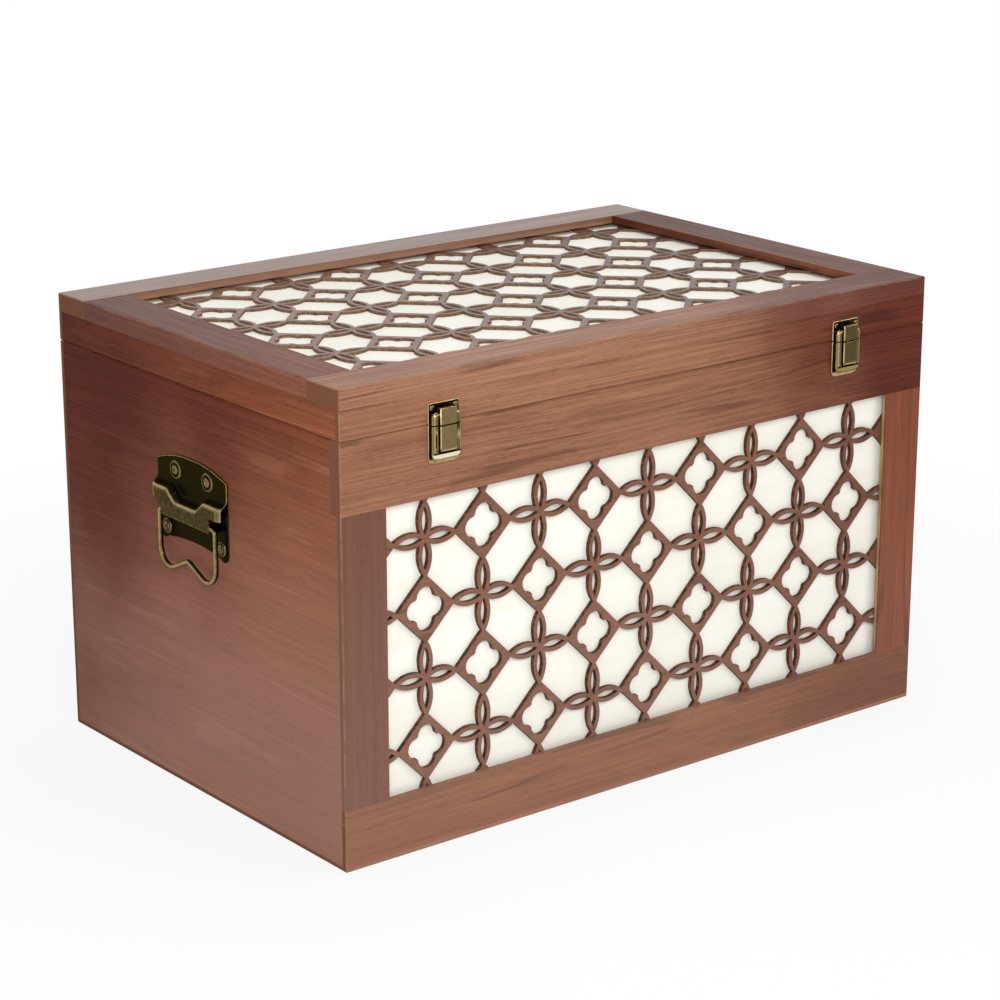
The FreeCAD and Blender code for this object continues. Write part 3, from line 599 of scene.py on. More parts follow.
def screw_mesh(radius, dish):
    """A domed screw head with a cross recess, facing up, in a pressed ring where a dish radius is given."""
    bm = bmesh.new()
    worn = bm.faces.layers.float.new(WEAR_AND_LIGHT)
    height, reach, half = radius * 0.40, radius * 0.44, radius * 0.11
    recess_floor, recess_depth = 0.7, height * 0.8
    # The head and the crest of the pressed ring get a painted highlight; the ring's hollow gets dark
    # patina.
    head_highlight, crest_highlight, hollow_wear = 0.32, 0.3, -0.4
    # Shares of the radius and of the height below the flat top, from the top to the foot.
    dome = ((0.62, 0.0), (0.86, 0.16), (1.0, 0.5), (1.0, 1.1))
    rim = edges_of(bmesh.ops.create_circle(bm, segments=28, radius=radius * dome[0][0])["verts"])
    cross = []
    for quarter in range(4):
        turn = Matrix.Rotation(quarter * QUARTER, 3, "Z")
        for x, y in ((reach, -half), (reach, half), (half, half)):
            cross.append(bm.verts.new(turn @ Vector((x, y, 0))))
    cross_edges = [bm.edges.new((cross[index - 1], cross[index])) for index in range(len(cross))]
    bmesh.ops.triangle_fill(bm, use_beauty=True, edges=rim + cross_edges, normal=UP)
    floor = grow_ring(bm, cross_edges, recess_floor, -recess_depth)
    bmesh.ops.contextual_create(bm, geom=floor)
    for face in bm.faces:
        face[worn] = head_highlight
    for (wide, drop), (wider, lower) in zip(dome, dome[1:]):
        rim = grow_ring(bm, rim, wider / wide, -(lower - drop) * height)
    bmesh.ops.translate(bm, vec=UP * height, verts=bm.verts)
    if dish:
        # Shares of the ring's radius and heights above the plate, from the outside inwards.
        pressed = (
            (1.0, -0.05 * MM), (0.94, 0.50 * MM), (0.87, 0.72 * MM), (0.80, 0.68 * MM), (0.64, 0.10 * MM),
            (0.3, 0.04 * MM),
        )
        start = bmesh.ops.create_circle(bm, segments=40, radius=dish)["verts"]
        bmesh.ops.translate(bm, vec=UP * pressed[0][1], verts=start)
        ring = edges_of(start)
        before = len(bm.faces)
        for (wide, rise), (narrower, higher) in zip(pressed, pressed[1:]):
            ring = grow_ring(bm, ring, narrower / wide, higher - rise)
        bm.faces.ensure_lookup_table()
        for face in bm.faces[before:]:
            away = face.calc_center_median().xy.length / dish
            face[worn] = crest_highlight if 0.72 < away < 0.98 else hollow_wear
    bmesh.ops.recalc_face_normals(bm, faces=bm.faces)
    return to_mesh(bm, "screw")


def facing(direction):
    """The turn that takes an upright shape to face a direction."""
    return direction.to_track_quat("Z", "Y").to_matrix().to_4x4()


def screws_piece(name, radius, dish, places, direction, material, body):
    """A set of screws in one body, each turned differently."""
    mesh = screw_mesh(radius, dish)
    bm = bmesh.new()
    for index, place in enumerate(places):
        turn = Matrix.Rotation(0.6 * index + 0.3, 4, "Z")
        add_mesh(bm, mesh, Matrix.Translation(place) @ facing(direction) @ turn)
    bpy.data.meshes.remove(mesh)
    keep_piece(bm, name, [material], body)


class TRUNK_OT_boards(bpy.types.Operator):
    """Gives the boards of the carcass and the lid their stained wood"""

    bl_idname = "trunk.boards"
    bl_label = "Boards"

    def execute(self, context):
        wood = context.scene.trunk_wood
        light, dark, ruddy = Vector(wood.light), Vector(wood.dark), Vector(wood.ruddy)
        dusky, russet = Vector(wood.dusky), Vector(wood.russet)
        opening_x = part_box("right_front_stile")[0].x
        opening_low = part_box("left_front_stile")[0].z
        lid_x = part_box("right_lid_side_rail")[0].x
        lid_y = -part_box("lid_front_rail")[1].y
        front, top = TRUNK_LOW.y, TRUNK_HIGH.z
        lid_inside = (top - 2.8 * MM, top - 3.8 * MM)
        stile_raw = (X, opening_x, Y, front + 1.2 * MM, front + 1.8 * MM, wood.edge_tone)
        sill_raw = (Z, opening_low, Y, front + 0.6 * MM, front + 1.2 * MM, wood.edge_tone)
        lid_back_raw = (Y, lid_y, Z, *lid_inside, wood.reveal)
        # The lid's side rails get painted shade, in the pore colour, in the recess above the fretwork.
        lid_side_shade = (X, lid_x, Z, *lid_inside, wood.pore)
        # Directions along which painted shade darkens the boards as the light falls off.
        to_right = (RIGHT, 0.02, 0.25, 1.0)
        lid_to_right = (RIGHT, 0.0, 0.24, 1.0)
        to_back = (Vector((0, 0.69, 0.72)), 0.04, 0.30, 1.0)
        lid_to_back = (Vector((0, 0.8, 0.6)), 0.06, 0.37, 1.0)
        long_board = dict(grain="X", light=light * 0.95, dark=dark, sawn_ends=True)
        lid_front = dict(
            long_board, offset=(0.27, 0.13, 0.05), light=light * 1.03, dark=dark * 1.06, painted_shade=lid_to_right
        )
        stile = dict(grain="Z", edge_tone=stile_raw)
        end = dict(grain="Y", light=russet, dark=russet * 0.62)
        end_board = dict(end, pale_lines=True, polish=(0.06, 0.0))
        end_rail = dict(end, edge_tone=lid_side_shade, painted_shade=lid_to_back)
        boards = {
            "front_top_rail": dict(
                long_board, offset=(0.11, 0.07, 0.31), light=light * 0.96, painted_shade=to_right
            ),
            "front_bottom_rail": dict(
                long_board, offset=(0.43, 0.21, 0.0), light=ruddy * 0.84, dark=dark * 0.93, edge_tone=sill_raw,
                painted_shade=(RIGHT, 0.05, 0.28, 0.40)
            ),
            "left_front_stile": dict(
                stile, offset=(0.2, 0.4, 0.12), light=ruddy * 0.34 + dusky * 0.48, dark=dusky * 0.86
            ),
            "right_front_stile": dict(
                stile, offset=(0.7, 0.1, 0.5), light=russet * 1.04, dark=russet * 0.62,
                painted_shade=(RIGHT, 0.0, 0.1, 0.35)
            ),
            # The ends get more painted sheen near the floor.
            "left_side_board": dict(end_board, offset=(0.3, 0.9, 0.2), painted_shade=to_back, floor_sheen_share=0.33),
            "right_side_board": dict(end_board, offset=(0.8, 0.3, 0.7), painted_shade=to_back, floor_sheen_share=0.33),
            "back_board": dict(long_board, offset=(0.5, 0.6, 0.9)),
            "bottom_panel": dict(long_board, offset=(0.9, 0.2, 0.4), light=light * 0.9),
            "lid_front_board": lid_front,
            "lid_back_board": dict(long_board, offset=(0.61, 0.33, 0.15)),
            "left_lid_side_board": dict(end_board, offset=(0.1, 0.5, 0.6), painted_shade=lid_to_back),
            "right_lid_side_board": dict(end_board, offset=(0.6, 0.2, 0.1), painted_shade=lid_to_back),
            # The lid rails' tops get painted shade, darkest on the right rail.
            "lid_front_rail": dict(lid_front, polish=(0.30, 0.0), top_shade=0.06),
            "lid_back_rail": dict(
                long_board, offset=(0.61, 0.33, 0.15), light=light * 0.85, dark=dark * 0.9,
                edge_tone=lid_back_raw, polish=(0.6, 0.55), top_shade=0.34
            ),
            "left_lid_side_rail": dict(end_rail, offset=(0.9, 0.7, 0.3), polish=(0.25, 0.0), top_shade=0.48),
            "right_lid_side_rail": dict(end_rail, offset=(0.2, 0.8, 0.4), polish=(0.2, 0.0), top_shade=0.7),
        }
        for name, values in boards.items():
            frame["nodes"][name].material_slots[0].material = wood_material("stained_" + name, **values)
        return {"FINISHED"}


class TRUNK_OT_ivory(bpy.types.Operator):
    """Paints the boards behind the fretwork"""

    bl_idname = "trunk.ivory"
    bl_label = "Ivory boards"

    def execute(self, context):
        material = ivory_material()
        for node in ("front_backing_panel", "lid_backing_panel"):
            frame["nodes"][node].material_slots[0].material = material
        return {"FINISHED"}


def fretwork_arm(fret, pierced):
    """A flat arm from a flower's middle along +X to the middle of a diamond, pierced or plain."""
    pitch = fret.pitch
    middle = pitch / 4
    half_chord = middle + fret.petal_overlap
    outer = (half_chord ** 2 + fret.petal_half_width ** 2) / (2 * fret.petal_half_width)
    low = outer - fret.petal_half_width
    inner = outer - fret.petal_band
    centre = Vector((middle, -low, 0))
    slit = math.sqrt(inner ** 2 - low ** 2)
    total = middle - low
    near = (total + math.sqrt(total ** 2 - 2 * (middle ** 2 + low ** 2 - outer ** 2))) / 2
    spread = middle + pitch / 2 - low
    lifted = pitch / 2 - low
    far = (spread + math.sqrt(spread ** 2 - 2 * (middle ** 2 + lifted ** 2 - outer ** 2))) / 2
    bm = bmesh.new()

    def point(place):
        vert = bm.verts.new(place)
        return vert, vert

    def arc(start, about, turn):
        first = bm.verts.new(start)
        made = bmesh.ops.spin(bm, geom=[first], cent=about, axis=UP, angle=turn, steps=fret.arc_steps)
        return first, verts_in(made["geom_last"])[0]

    runs = [point(ORIGIN)]
    runs.append(arc(Vector((middle - slit, 0, 0)), centre, -2 * math.atan2(slit, low)))
    if pierced:
        lobe = Vector((pitch - fret.lobe_square, 0, 0))
        runs.append(arc(lobe - RIGHT * fret.lobe_radius, lobe, -QUARTER))
        runs.append(point(lobe + BACK * fret.lobe_square))
    else:
        runs.append(point(RIGHT * pitch))
    runs.append(point((pitch * 3 / 4, pitch / 4, 0)))
    first = math.atan2(far - pitch / 2 + low, far - middle)
    last = math.atan2(near + low, near - middle)
    runs.append(arc(Vector((far, far - pitch / 2, 0)), centre, last - first))
    for before, after in zip(runs, runs[1:] + runs[:1]):
        bm.edges.new((before[1], after[0]))
    bmesh.ops.triangle_fill(bm, use_beauty=True, edges=bm.edges[:], normal=UP)
    bmesh.ops.mirror(bm, geom=everything(bm), matrix=Matrix.Identity(4), merge_dist=WELD, axis="Y")
    bmesh.ops.recalc_face_normals(bm, faces=bm.faces)
    return to_mesh(bm, "arm")


def fretwork_sheet(fret, half_u, half_v, thickness):
    """A pierced sheet, face up at z 0: flowers and diamonds in turn, cut off at the sheet's edges."""
    under_frame = 6 * MM
    window_u, window_v = half_u - under_frame, half_v - under_frame
    arms = {pierced: fretwork_arm(fret, pierced) for pierced in (True, False)}
    pitch = fret.pitch
    bm = bmesh.new()
    top_row = round(window_v / pitch)
    columns = math.ceil(half_u / pitch) + 1
    for row in range(-1, 2 * top_row + 2):
        for column in range(-columns, columns + 1):
            if (row + column) % 2:
                continue
            flower = Vector((column * pitch, (top_row - row) * pitch - pitch / 2, 0))
            for quarter in range(4):
                turn = Matrix.Rotation(quarter * QUARTER, 4, "Z")
                diamond = flower + turn @ RIGHT * pitch
                shown = abs(diamond.x) < window_u and abs(diamond.y) < window_v
                add_mesh(bm, arms[shown], Matrix.Translation(flower) @ turn)
    for mesh in arms.values():
        bpy.data.meshes.remove(mesh)
    bmesh.ops.remove_doubles(bm, verts=bm.verts, dist=5 * WELD)
    for outward, half in ((RIGHT, half_u), (-RIGHT, half_u), (BACK, half_v), (-BACK, half_v)):
        bmesh.ops.bisect_plane(
            bm, geom=everything(bm), plane_co=outward * half, plane_no=outward, clear_outer=True
        )
    made = bmesh.ops.extrude_face_region(bm, geom=bm.faces[:])["geom"]
    bmesh.ops.translate(bm, vec=UP * -thickness, verts=verts_in(made))
    bmesh.ops.recalc_face_normals(bm, faces=bm.faces)
    bm.normal_update()
    for face in bm.faces:
        face.material_index = 0 if abs(face.normal.z) > 0.5 else 1
    return bm


class TRUNK_OT_fretwork(bpy.types.Operator):
    """Cuts the two fretwork sheets"""

    bl_idname = "trunk.fretwork"
    bl_label = "Fretwork"

    def execute(self, context):
        wood, fret = context.scene.trunk_wood, context.scene.trunk_fretwork
        face, wall = Vector(wood.fret_face), Vector(wood.fret_wall)
        low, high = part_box("front_lattice")
        half = (high - low) / 2
        bm = fretwork_sheet(fret, half.x, half.z, high.y - low.y)
        middle = Vector(((low.x + high.x) / 2, low.y, (low.z + high.z) / 2))
        upright = Matrix.Translation(middle) @ Matrix.Rotation(QUARTER, 4, "X")
        bmesh.ops.transform(bm, matrix=upright, verts=bm.verts)
        # Painted shade darkens the front sheet towards the right.
        stained = wood_material(
            "fretwork_front", "X", (0.35, 0.25, 0.65), face, face * 0.72, painted_shade=(RIGHT, 0.05, 0.27, 0.4)
        )
        edge = fret_edge_material("scorched_edge", wood.fret_edge, wood.dark)
        keep_piece(bm, "front_fretwork", [stained, edge], "carcass", ["front_lattice"])
        low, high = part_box("lid_lattice")
        half = (high - low) / 2
        bm = fretwork_sheet(fret, half.x, half.y, fret.lid_thickness)
        middle = Vector(((low.x + high.x) / 2, (low.y + high.y) / 2, low.z + fret.lid_thickness))
        bmesh.ops.transform(bm, matrix=Matrix.Translation(middle), verts=bm.verts)
        # Painted shade darkens the lid sheet towards the right.
        stained = wood_material(
            "fretwork_lid", "X", (0.75, 0.55, 0.35), face * 0.76, face * 0.62,
            painted_shade=(RIGHT, -0.20, 0.24, 0.8), polish=(0.5, 0.45)
        )
        edge = fret_edge_material("warm_edge", wall * 0.45, wall)
        keep_piece(bm, "lid_fretwork", [stained, edge], "lid", ["lid_lattice"])
        return {"FINISHED"}


def flatten_bosses(bm, rim_face):
    """Brings the bosses round the pin's ends back to the face of the rim."""
    for vert in bm.verts:
        if -vert.co.y > rim_face:
            bmesh.ops.translate(bm, vec=BACK * (-rim_face - vert.co.y), verts=[vert])
    bmesh.ops.dissolve_degenerate(bm, dist=5 * WELD, edges=bm.edges)
    join_flat_faces(bm)


def edge_reach(edge):
    """How far towards the front an edge comes."""
    return max(-vert.co.y for vert in edge.verts)


def on_plate(edge, raised):
    """Whether an edge runs round the outline of a latch's flat plate."""
    return edge.is_convex and edge_reach(edge) < raised


def mark_lip(bm, low, front, lip_highlight):
    """Paints a highlight on the rim's lower lip, painted shade in the gap above it, and a brighter plate
    below it.
    """
    layer = bm.faces.layers.float[WEAR_AND_LIGHT]
    plate_foot, lip_top, gap_top = low + 3.2 * MM, low + 7.4 * MM, low + 8.6 * MM
    plate_out, lip_out, rim_out = front + 0.5 * MM, front + 3.0 * MM, front + 5.0 * MM
    for height in (plate_foot, lip_top, gap_top):
        bmesh.ops.bisect_plane(bm, geom=everything(bm), plane_co=UP * height, plane_no=UP)
    for face in bm.faces:
        middle = face.calc_center_median()
        if middle.z < plate_foot and -middle.y > plate_out:
            face[layer] = max(face[layer], 0.7)
        elif middle.z < lip_top and -middle.y > lip_out:
            face[layer] = lip_highlight
        elif middle.z < gap_top and -middle.y > rim_out:
            face[layer] = -1.0


def mark_lever(bm, tip, lever_light):
    """Paints a highlight on a lever's slanted edges, painted shade in its groove, and the given painted
    light on its other faces.
    """
    layer = bm.faces.layers.float[WEAR_AND_LIGHT]
    groove_half, groove_top = 0.75 * MM, tip + 0.4 * MM
    for face in bm.faces:
        middle = face.calc_center_median()
        if abs(middle.z - SEAM) < groove_half and middle.y > groove_top:
            face[layer] = -1.0
        elif -0.95 < face.normal.y < -0.3:
            face[layer] = 0.9
        else:
            face[layer] = lever_light


class TRUNK_OT_latches(bpy.types.Operator):
    """Finishes the two box latches"""

    bl_idname = "trunk.latches"
    bl_label = "Latches"

    def execute(self, context):
        hardware = context.scene.trunk_hardware
        front = -TRUNK_LOW.y
        plate_face, raised, rim_face = front + 1.0 * MM, front + 1.2 * MM, front + 5.6 * MM
        screw_half, screw_drop = 10.2 * MM, 3.5 * MM
        brass = brass_material("latch_brass", Y, front + 0.8 * MM, front + 5.0 * MM, 0.2, 0.9)
        # The left latch's lip gets a painted reflection and its lever painted light; the right latch's lip
        # a weaker painted highlight and its lever painted shade.
        for side, lip_highlight, lever_light in (("left", 1.75, 0.12), ("right", 0.35, -0.4)):
            for node, body in (("latch_keeper", "lid"), ("latch_base", "carcass")):
                name = f"{side}_{node}"
                bm = merged_copy(name)
                if node == "latch_base":
                    flatten_bosses(bm, rim_face)
                ease_edges(bm, hardware.rim_round, SLANTED, 4, 0.6, lambda edge: edge_reach(edge) > raised)
                ease_edges(bm, hardware.latch_edge, SQUARE, 2, 1.0, lambda edge: on_plate(edge, raised))
                if node == "latch_base":
                    mark_lip(bm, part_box(name)[0].z, front, lip_highlight)
                keep_piece(bm, name + "_finished", [brass], body, [name], True)
            name = side + "_latch_lever"
            low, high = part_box(name)
            bm = merged_copy(name)
            mark_lever(bm, low.y, lever_light)
            from_back = Matrix.Translation(BACK * -high.y)
            bmesh.ops.scale(bm, vec=(1, hardware.lever_depth, 1), space=from_back, verts=bm.verts)
            ease_edges(bm, hardware.edge, SQUARE, 2)
            keep_piece(bm, name + "_finished", [brass], side + "_lever", [name], True)
            low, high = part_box(side + "_latch_keeper")
            middle, height = (low.x + high.x) / 2, high.z - screw_drop
            places = [Vector((middle + away, -plate_face, height)) for away in (-screw_half, screw_half)]
            screws_piece(side + "_keeper_screws", hardware.latch_screw, 0, places, -BACK, brass, "lid")
        return {"FINISHED"}


def soften(points, radius, steps):
    """Points along a line with its inner corners rounded."""
    path = [points[0]]
    for before, corner, after in zip(points, points[1:], points[2:]):
        come, go = (corner - before).normalized(), (after - corner).normalized()
        reach = radius * math.tan(come.angle(go) / 2)
        first, last = corner - come * reach, corner + go * reach
        for step in range(steps + 1):
            share = step / steps
            path.append(first.lerp(corner, share).lerp(corner.lerp(last, share), share))
    path.append(points[-1])
    return path


def bend_wire(bm, points, radii, wire_radius, sides, steps):
    """A round wire through points, each inner corner bent to its radius."""
    heading = (points[1] - points[0]).normalized()
    ring = bmesh.ops.create_circle(bm, cap_ends=False, segments=sides, radius=wire_radius)["verts"]
    bmesh.ops.transform(bm, matrix=Matrix.Translation(points[0]) @ facing(heading), verts=ring)
    edges = edges_of(ring)
    bmesh.ops.contextual_create(bm, geom=edges)
    here = points[0]
    for index in range(1, len(points)):
        heading = (points[index] - points[index - 1]).normalized()
        goal = points[index]
        turn = 0
        if index < len(points) - 1:
            after = (points[index + 1] - points[index]).normalized()
            turn = heading.angle(after)
            goal = points[index] - heading * radii[index] * math.tan(turn / 2)
        made = bmesh.ops.extrude_edge_only(bm, edges=edges)["geom"]
        bmesh.ops.translate(bm, vec=goal - here, verts=verts_in(made))
        edges = edges_in(made)
        here = goal
        if turn:
            axis = heading.cross(after).normalized()
            centre = goal + axis.cross(heading) * radii[index]
            made = bmesh.ops.spin(bm, geom=edges, cent=centre, axis=axis, angle=turn, steps=steps)
            edges = edges_in(made["geom_last"])
            here = points[index] + after * radii[index] * math.tan(turn / 2)
    bmesh.ops.contextual_create(bm, geom=edges)
    bmesh.ops.recalc_face_normals(bm, faces=bm.faces)


def ease_hollow(bm, inner):
    """Turns the step at each end of the plate's hollow lower edge into a soft curve."""
    foot = min(vert.co.z for vert in bm.verts)
    spread, near = 5.5 * MM, 0.2 * MM
    slope_end, slope_top, softness = inner + 6.0 * MM, foot + 4.0 * MM, 2.4 * MM
    for vert in bm.verts:
        if abs(abs(vert.co.y) - inner) < near and vert.co.z < foot + near:
            bmesh.ops.translate(bm, vec=BACK * math.copysign(spread, vert.co.y), verts=[vert])
    bm.normal_update()

    def on_slope(edge):
        start, end = (vert.co for vert in edge.verts)
        through = abs(start.x - end.x) > 0.9 * (start - end).length
        return through and inner - near < abs(start.y) < slope_end and start.z < slope_top

    ease_edges(bm, softness, (15, 170), 4, 0.0, on_slope)


def cover_profile(bm, hardware, flat, face, skirt):
    """The edges of the cover's section: down the plate, out along the roof and down the skirt."""
    turn = math.atan2(face - flat, hardware.roof_fall)
    bend = hardware.stamped
    reach = bend * math.tan(turn / 2)
    start = Vector((flat, 0, reach - hardware.shoulder))
    heading = Vector((math.sin(turn), 0, -math.cos(turn)))
    eaves = Vector((face, 0, -hardware.shoulder - hardware.roof_fall))
    runs = []
    for first, about, sweep in (
        (start, start + RIGHT * bend, -turn),
        (eaves - heading * reach, eaves - UP * reach - RIGHT * bend, turn),
    ):
        vert = bm.verts.new(first)
        made = bmesh.ops.spin(bm, geom=[vert], cent=about, axis=BACK, angle=sweep, steps=7)
        runs.append((vert, verts_in(made["geom_last"])[0]))
    top = bm.verts.new((flat, 0, 0))
    foot = bm.verts.new((face, 0, -skirt))
    for pair in ((top, runs[0][0]), (runs[0][1], runs[1][0]), (runs[1][1], foot)):
        bm.edges.new(pair)
    return bm.edges[:]


def cover_path(hardware, half, end_shares):
    """The way across a cover, down into its low middle and up again."""
    slope_end = hardware.dip_half + hardware.dip_slope
    turns = [(-half, 0), (-slope_end, 0), (-hardware.dip_half, -hardware.dip)]
    turns += [(-y, z) for y, z in reversed(turns)]
    path = soften([Vector((0, y, z)) for y, z in turns], 1.5 * hardware.stamped, 6)
    stops = [Vector((0, -half * share, 0)) for share in end_shares]
    stops.append(Vector((0, -hardware.skirt_half, 0)))
    others = [Vector((0, -place.y, 0)) for place in reversed(stops)]
    return path[:1] + stops + path[1:-1] + others + path[-1:]


def round_cover_ends(bm, flat, start, half):
    """Bends the outer ends of the skirt and roof a little towards the wood."""
    space = Matrix.Translation(RIGHT * -flat)
    inwards = 0.25
    for vert in bm.verts:
        past = (abs(vert.co.y) - start) / (half - start)
        if past > 0:
            bmesh.ops.scale(bm, vec=(1 - inwards * past ** 2, 1, 1), space=space, verts=[vert])


def paint_cover_highlights(bm, layer, face):
    """Paints a highlight on a cover's bends, most of all where they face half forwards."""
    forwards, forwards_range = 0.80, 0.24
    sideways, sideways_range = 0.22, 0.12
    for item in bm.faces:
        depth = item.calc_center_median().x / face
        if depth > 0.5:
            bend = 1 - abs(item.normal.x - forwards) / forwards_range
            side_bend = (1 - abs(abs(item.normal.y) - sideways) / sideways_range) * depth ** 4
            item[layer] = max(0.0, bend, side_bend) ** 1.5


def stamped_cover(side, out, hardware, material):
    """The stamped cover: a bent profile swept across, cut to its outline and given its thickness."""
    name = side + "_handle_cover"
    low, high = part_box(name)
    end = TRUNK_HIGH.x
    face = max(-low.x, high.x) - end
    half, skirt = high.y, high.z - low.z
    flat = 2 * hardware.sheet
    on_front = 0.99 * face
    end_shares = (0.975, 0.95, 0.915, 0.88, 0.85)
    bm = bmesh.new()
    layer = bm.faces.layers.float.new(WEAR_AND_LIGHT)
    edges = cover_profile(bm, hardware, flat, face, skirt)
    bmesh.ops.translate(bm, vec=BACK * -half, verts=bm.verts)
    path = cover_path(hardware, half, end_shares)
    columns = [bm.verts[:]]
    for before, after in zip(path, path[1:]):
        made = bmesh.ops.extrude_edge_only(bm, edges=edges)["geom"]
        edges = edges_in(made)
        columns.append(verts_in(made))
        bmesh.ops.translate(bm, vec=after - before, verts=columns[-1])
    radius = (half ** 2 + hardware.crown ** 2) / (2 * hardware.crown)
    for verts, place in zip(columns, path):
        verts.sort(key=lambda vert: vert.co.z)
        arch = math.sqrt(radius ** 2 - place.y ** 2) - radius
        bmesh.ops.translate(bm, vec=UP * (-skirt - verts[0].co.z), verts=verts[:1])
        bmesh.ops.translate(bm, vec=UP * (arch - verts[-1].co.z), verts=verts[-1:])
    front = [item for item in bm.faces if min(vert.co.x for vert in item.verts) > on_front]
    around = {edge for item in front for edge in item.edges}
    around |= {vert for item in front for vert in item.verts}
    bmesh.ops.bisect_plane(bm, geom=front + list(around), plane_co=UP * -hardware.notch, plane_no=UP)
    cut = []
    for item in bm.faces:
        x, y, z = item.calc_center_median()
        if x > on_front and abs(y) > hardware.skirt_half and z < -hardware.notch:
            cut.append(item)
    bmesh.ops.delete(bm, geom=cut, context="FACES")
    round_cover_ends(bm, flat, end_shares[-1] * half, half)
    bmesh.ops.recalc_face_normals(bm, faces=bm.faces)
    if sum(item.normal.x for item in bm.faces) < 0:
        bmesh.ops.reverse_faces(bm, faces=bm.faces)
    paint_cover_highlights(bm, layer, face)
    skin, skin_verts = set(bm.faces), set(bm.verts)
    bmesh.ops.solidify(bm, geom=bm.faces[:], thickness=hardware.sheet)
    # The sheet's cut edges get a painted highlight and its underside dark patina.
    for item in bm.faces:
        if item not in skin:
            item[layer] = 1.0 if any(vert in skin_verts for vert in item.verts) else -0.5
    ease_edges(bm, hardware.edge, SQUARE, 2)
    place = Matrix.Translation((out * end, 0, high.z)) @ Matrix.Diagonal((out, 1, 1, 1))
    bmesh.ops.transform(bm, matrix=place, verts=bm.verts)
    bmesh.ops.recalc_face_normals(bm, faces=bm.faces)
    keep_piece(bm, side + "_stamped_cover", [material], "carcass", [name], True)


def bail_wire(side, out, hardware, material):
    """The bent wire: two legs from the cover's sides and an M-shaped grip."""
    place = Vector(next(j for j in frame["joints"] if j["name"] == side + "_bail_swing")["pos_m"])
    radius = hardware.wire_radius
    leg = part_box(side + "_bail")[1].y - radius * math.cos(math.pi / 8)
    slope = math.radians(25)
    lobe, peak, bend = 13 * MM, 5 * MM, 3.2 * MM
    wire_end, drop = 29.2 * MM, 42.2 * MM
    corner = place.z - drop - lobe * (math.tan(slope) + 1 / math.cos(slope) - 1)
    top = corner + leg * math.tan(slope)
    half = [(-wire_end, place.z), (-leg, place.z), (-leg, corner)]
    loop = half + [(0, top)] + [(-y, z) for y, z in reversed(half)]
    points = [Vector((place.x, y, z)) for y, z in loop]
    radii = [0, bend, lobe, peak, lobe, bend, 0]
    bm = bmesh.new()
    layer = bm.faces.layers.float.new(WEAR_AND_LIGHT)
    bend_wire(bm, points, radii, radius, sides=20, steps=10)
    bm.normal_update()
    # Painted highlight along the wire's outward side and painted shade at its sides.
    for face in bm.faces:
        face[layer] = max(-0.5, 0.9 * out * face.normal.x - 0.35)
    keep_piece(bm, side + "_bail_wire", [material], side + "_grip", [side + "_bail"])


class TRUNK_OT_handles(bpy.types.Operator):
    """Finishes the two drop handles"""

    bl_idname = "trunk.handles"
    bl_label = "Handles"

    def execute(self, context):
        hardware = context.scene.trunk_hardware
        end = TRUNK_HIGH.x
        ear_width = 12.5 * MM
        plate = brass_material("handle_plate_brass", X, end + 0.5 * MM, end + 7.0 * MM, -0.10, 0.20)
        cover = brass_material("handle_cover_brass", X, end + 1.0 * MM, end + 8.6 * MM, -0.10, 0.22)
        wire = brass_material("bail_brass", X, end + 2.0 * MM, end + 7.5 * MM, 0.15, 0.45)
        for side, out in zip(SIDES, (-1, 1)):
            name = side + "_handle_back_plate"
            low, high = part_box(name)
            bm = merged_copy(name)
            ease_hollow(bm, high.y - ear_width)
            ease_edges(bm, hardware.plate_edge, SQUARE, 2)
            keep_piece(bm, side + "_back_plate", [plate], "carcass", [name], True)
            stamped_cover(side, out, hardware, cover)
            bail_wire(side, out, hardware, wire)
            for label, dish, sheets, half, height in (
                ("handle", hardware.handle_dish, 2, 21.2 * MM, high.z - 12.4 * MM),
                ("ear", hardware.ear_dish, 1, 36.4 * MM, low.z + 9.6 * MM),
            ):
                depth = end + sheets * hardware.sheet
                places = [Vector((out * depth, y, height)) for y in (-half, half)]
                screws_piece(
                    f"{side}_{label}_screws", hardware.handle_screw, dish, places, RIGHT * out, cover,
                    "carcass"
                )
        return {"FINISHED"}


class TRUNK_OT_hinges(bpy.types.Operator):
    """Finishes the two hinges on the back"""

    bl_idname = "trunk.hinges"
    bl_label = "Hinges"

    def execute(self, context):
        hardware = context.scene.trunk_hardware
        back = TRUNK_HIGH.y
        leaf_face, leaf_edge = back + 1.2 * MM, 0.2 * MM
        screw_pitch, screw_rise = 19 * MM, 13 * MM
        brass = brass_material("hinge_brass", Y, back + 0.5 * MM, back + 5.0 * MM, 0.30, 0.85)
        axis = next(j for j in frame["joints"] if j["name"] == "lid_hinge")["pos_m"]
        for leaf, body, rise in (("lower_leaf", "carcass", -screw_rise), ("upper_leaf", "lid", screw_rise)):
            places = []
            for side in SIDES:
                name = f"{side}_hinge_{leaf}"
                bm = merged_copy(name)
                ease_edges(bm, leaf_edge, (50, 170), 2)
                keep_piece(bm, f"{side}_{leaf}", [brass], body, [name], True)
                low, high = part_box(name)
                middle = (low.x + high.x) / 2
                for away in (-screw_pitch, 0, screw_pitch):
                    places.append(Vector((middle + away, leaf_face, axis[Z] + rise)))
            screws_piece(f"hinge_{leaf}_screws", hardware.hinge_screw, 0, places, BACK, brass, body)
        return {"FINISHED"}


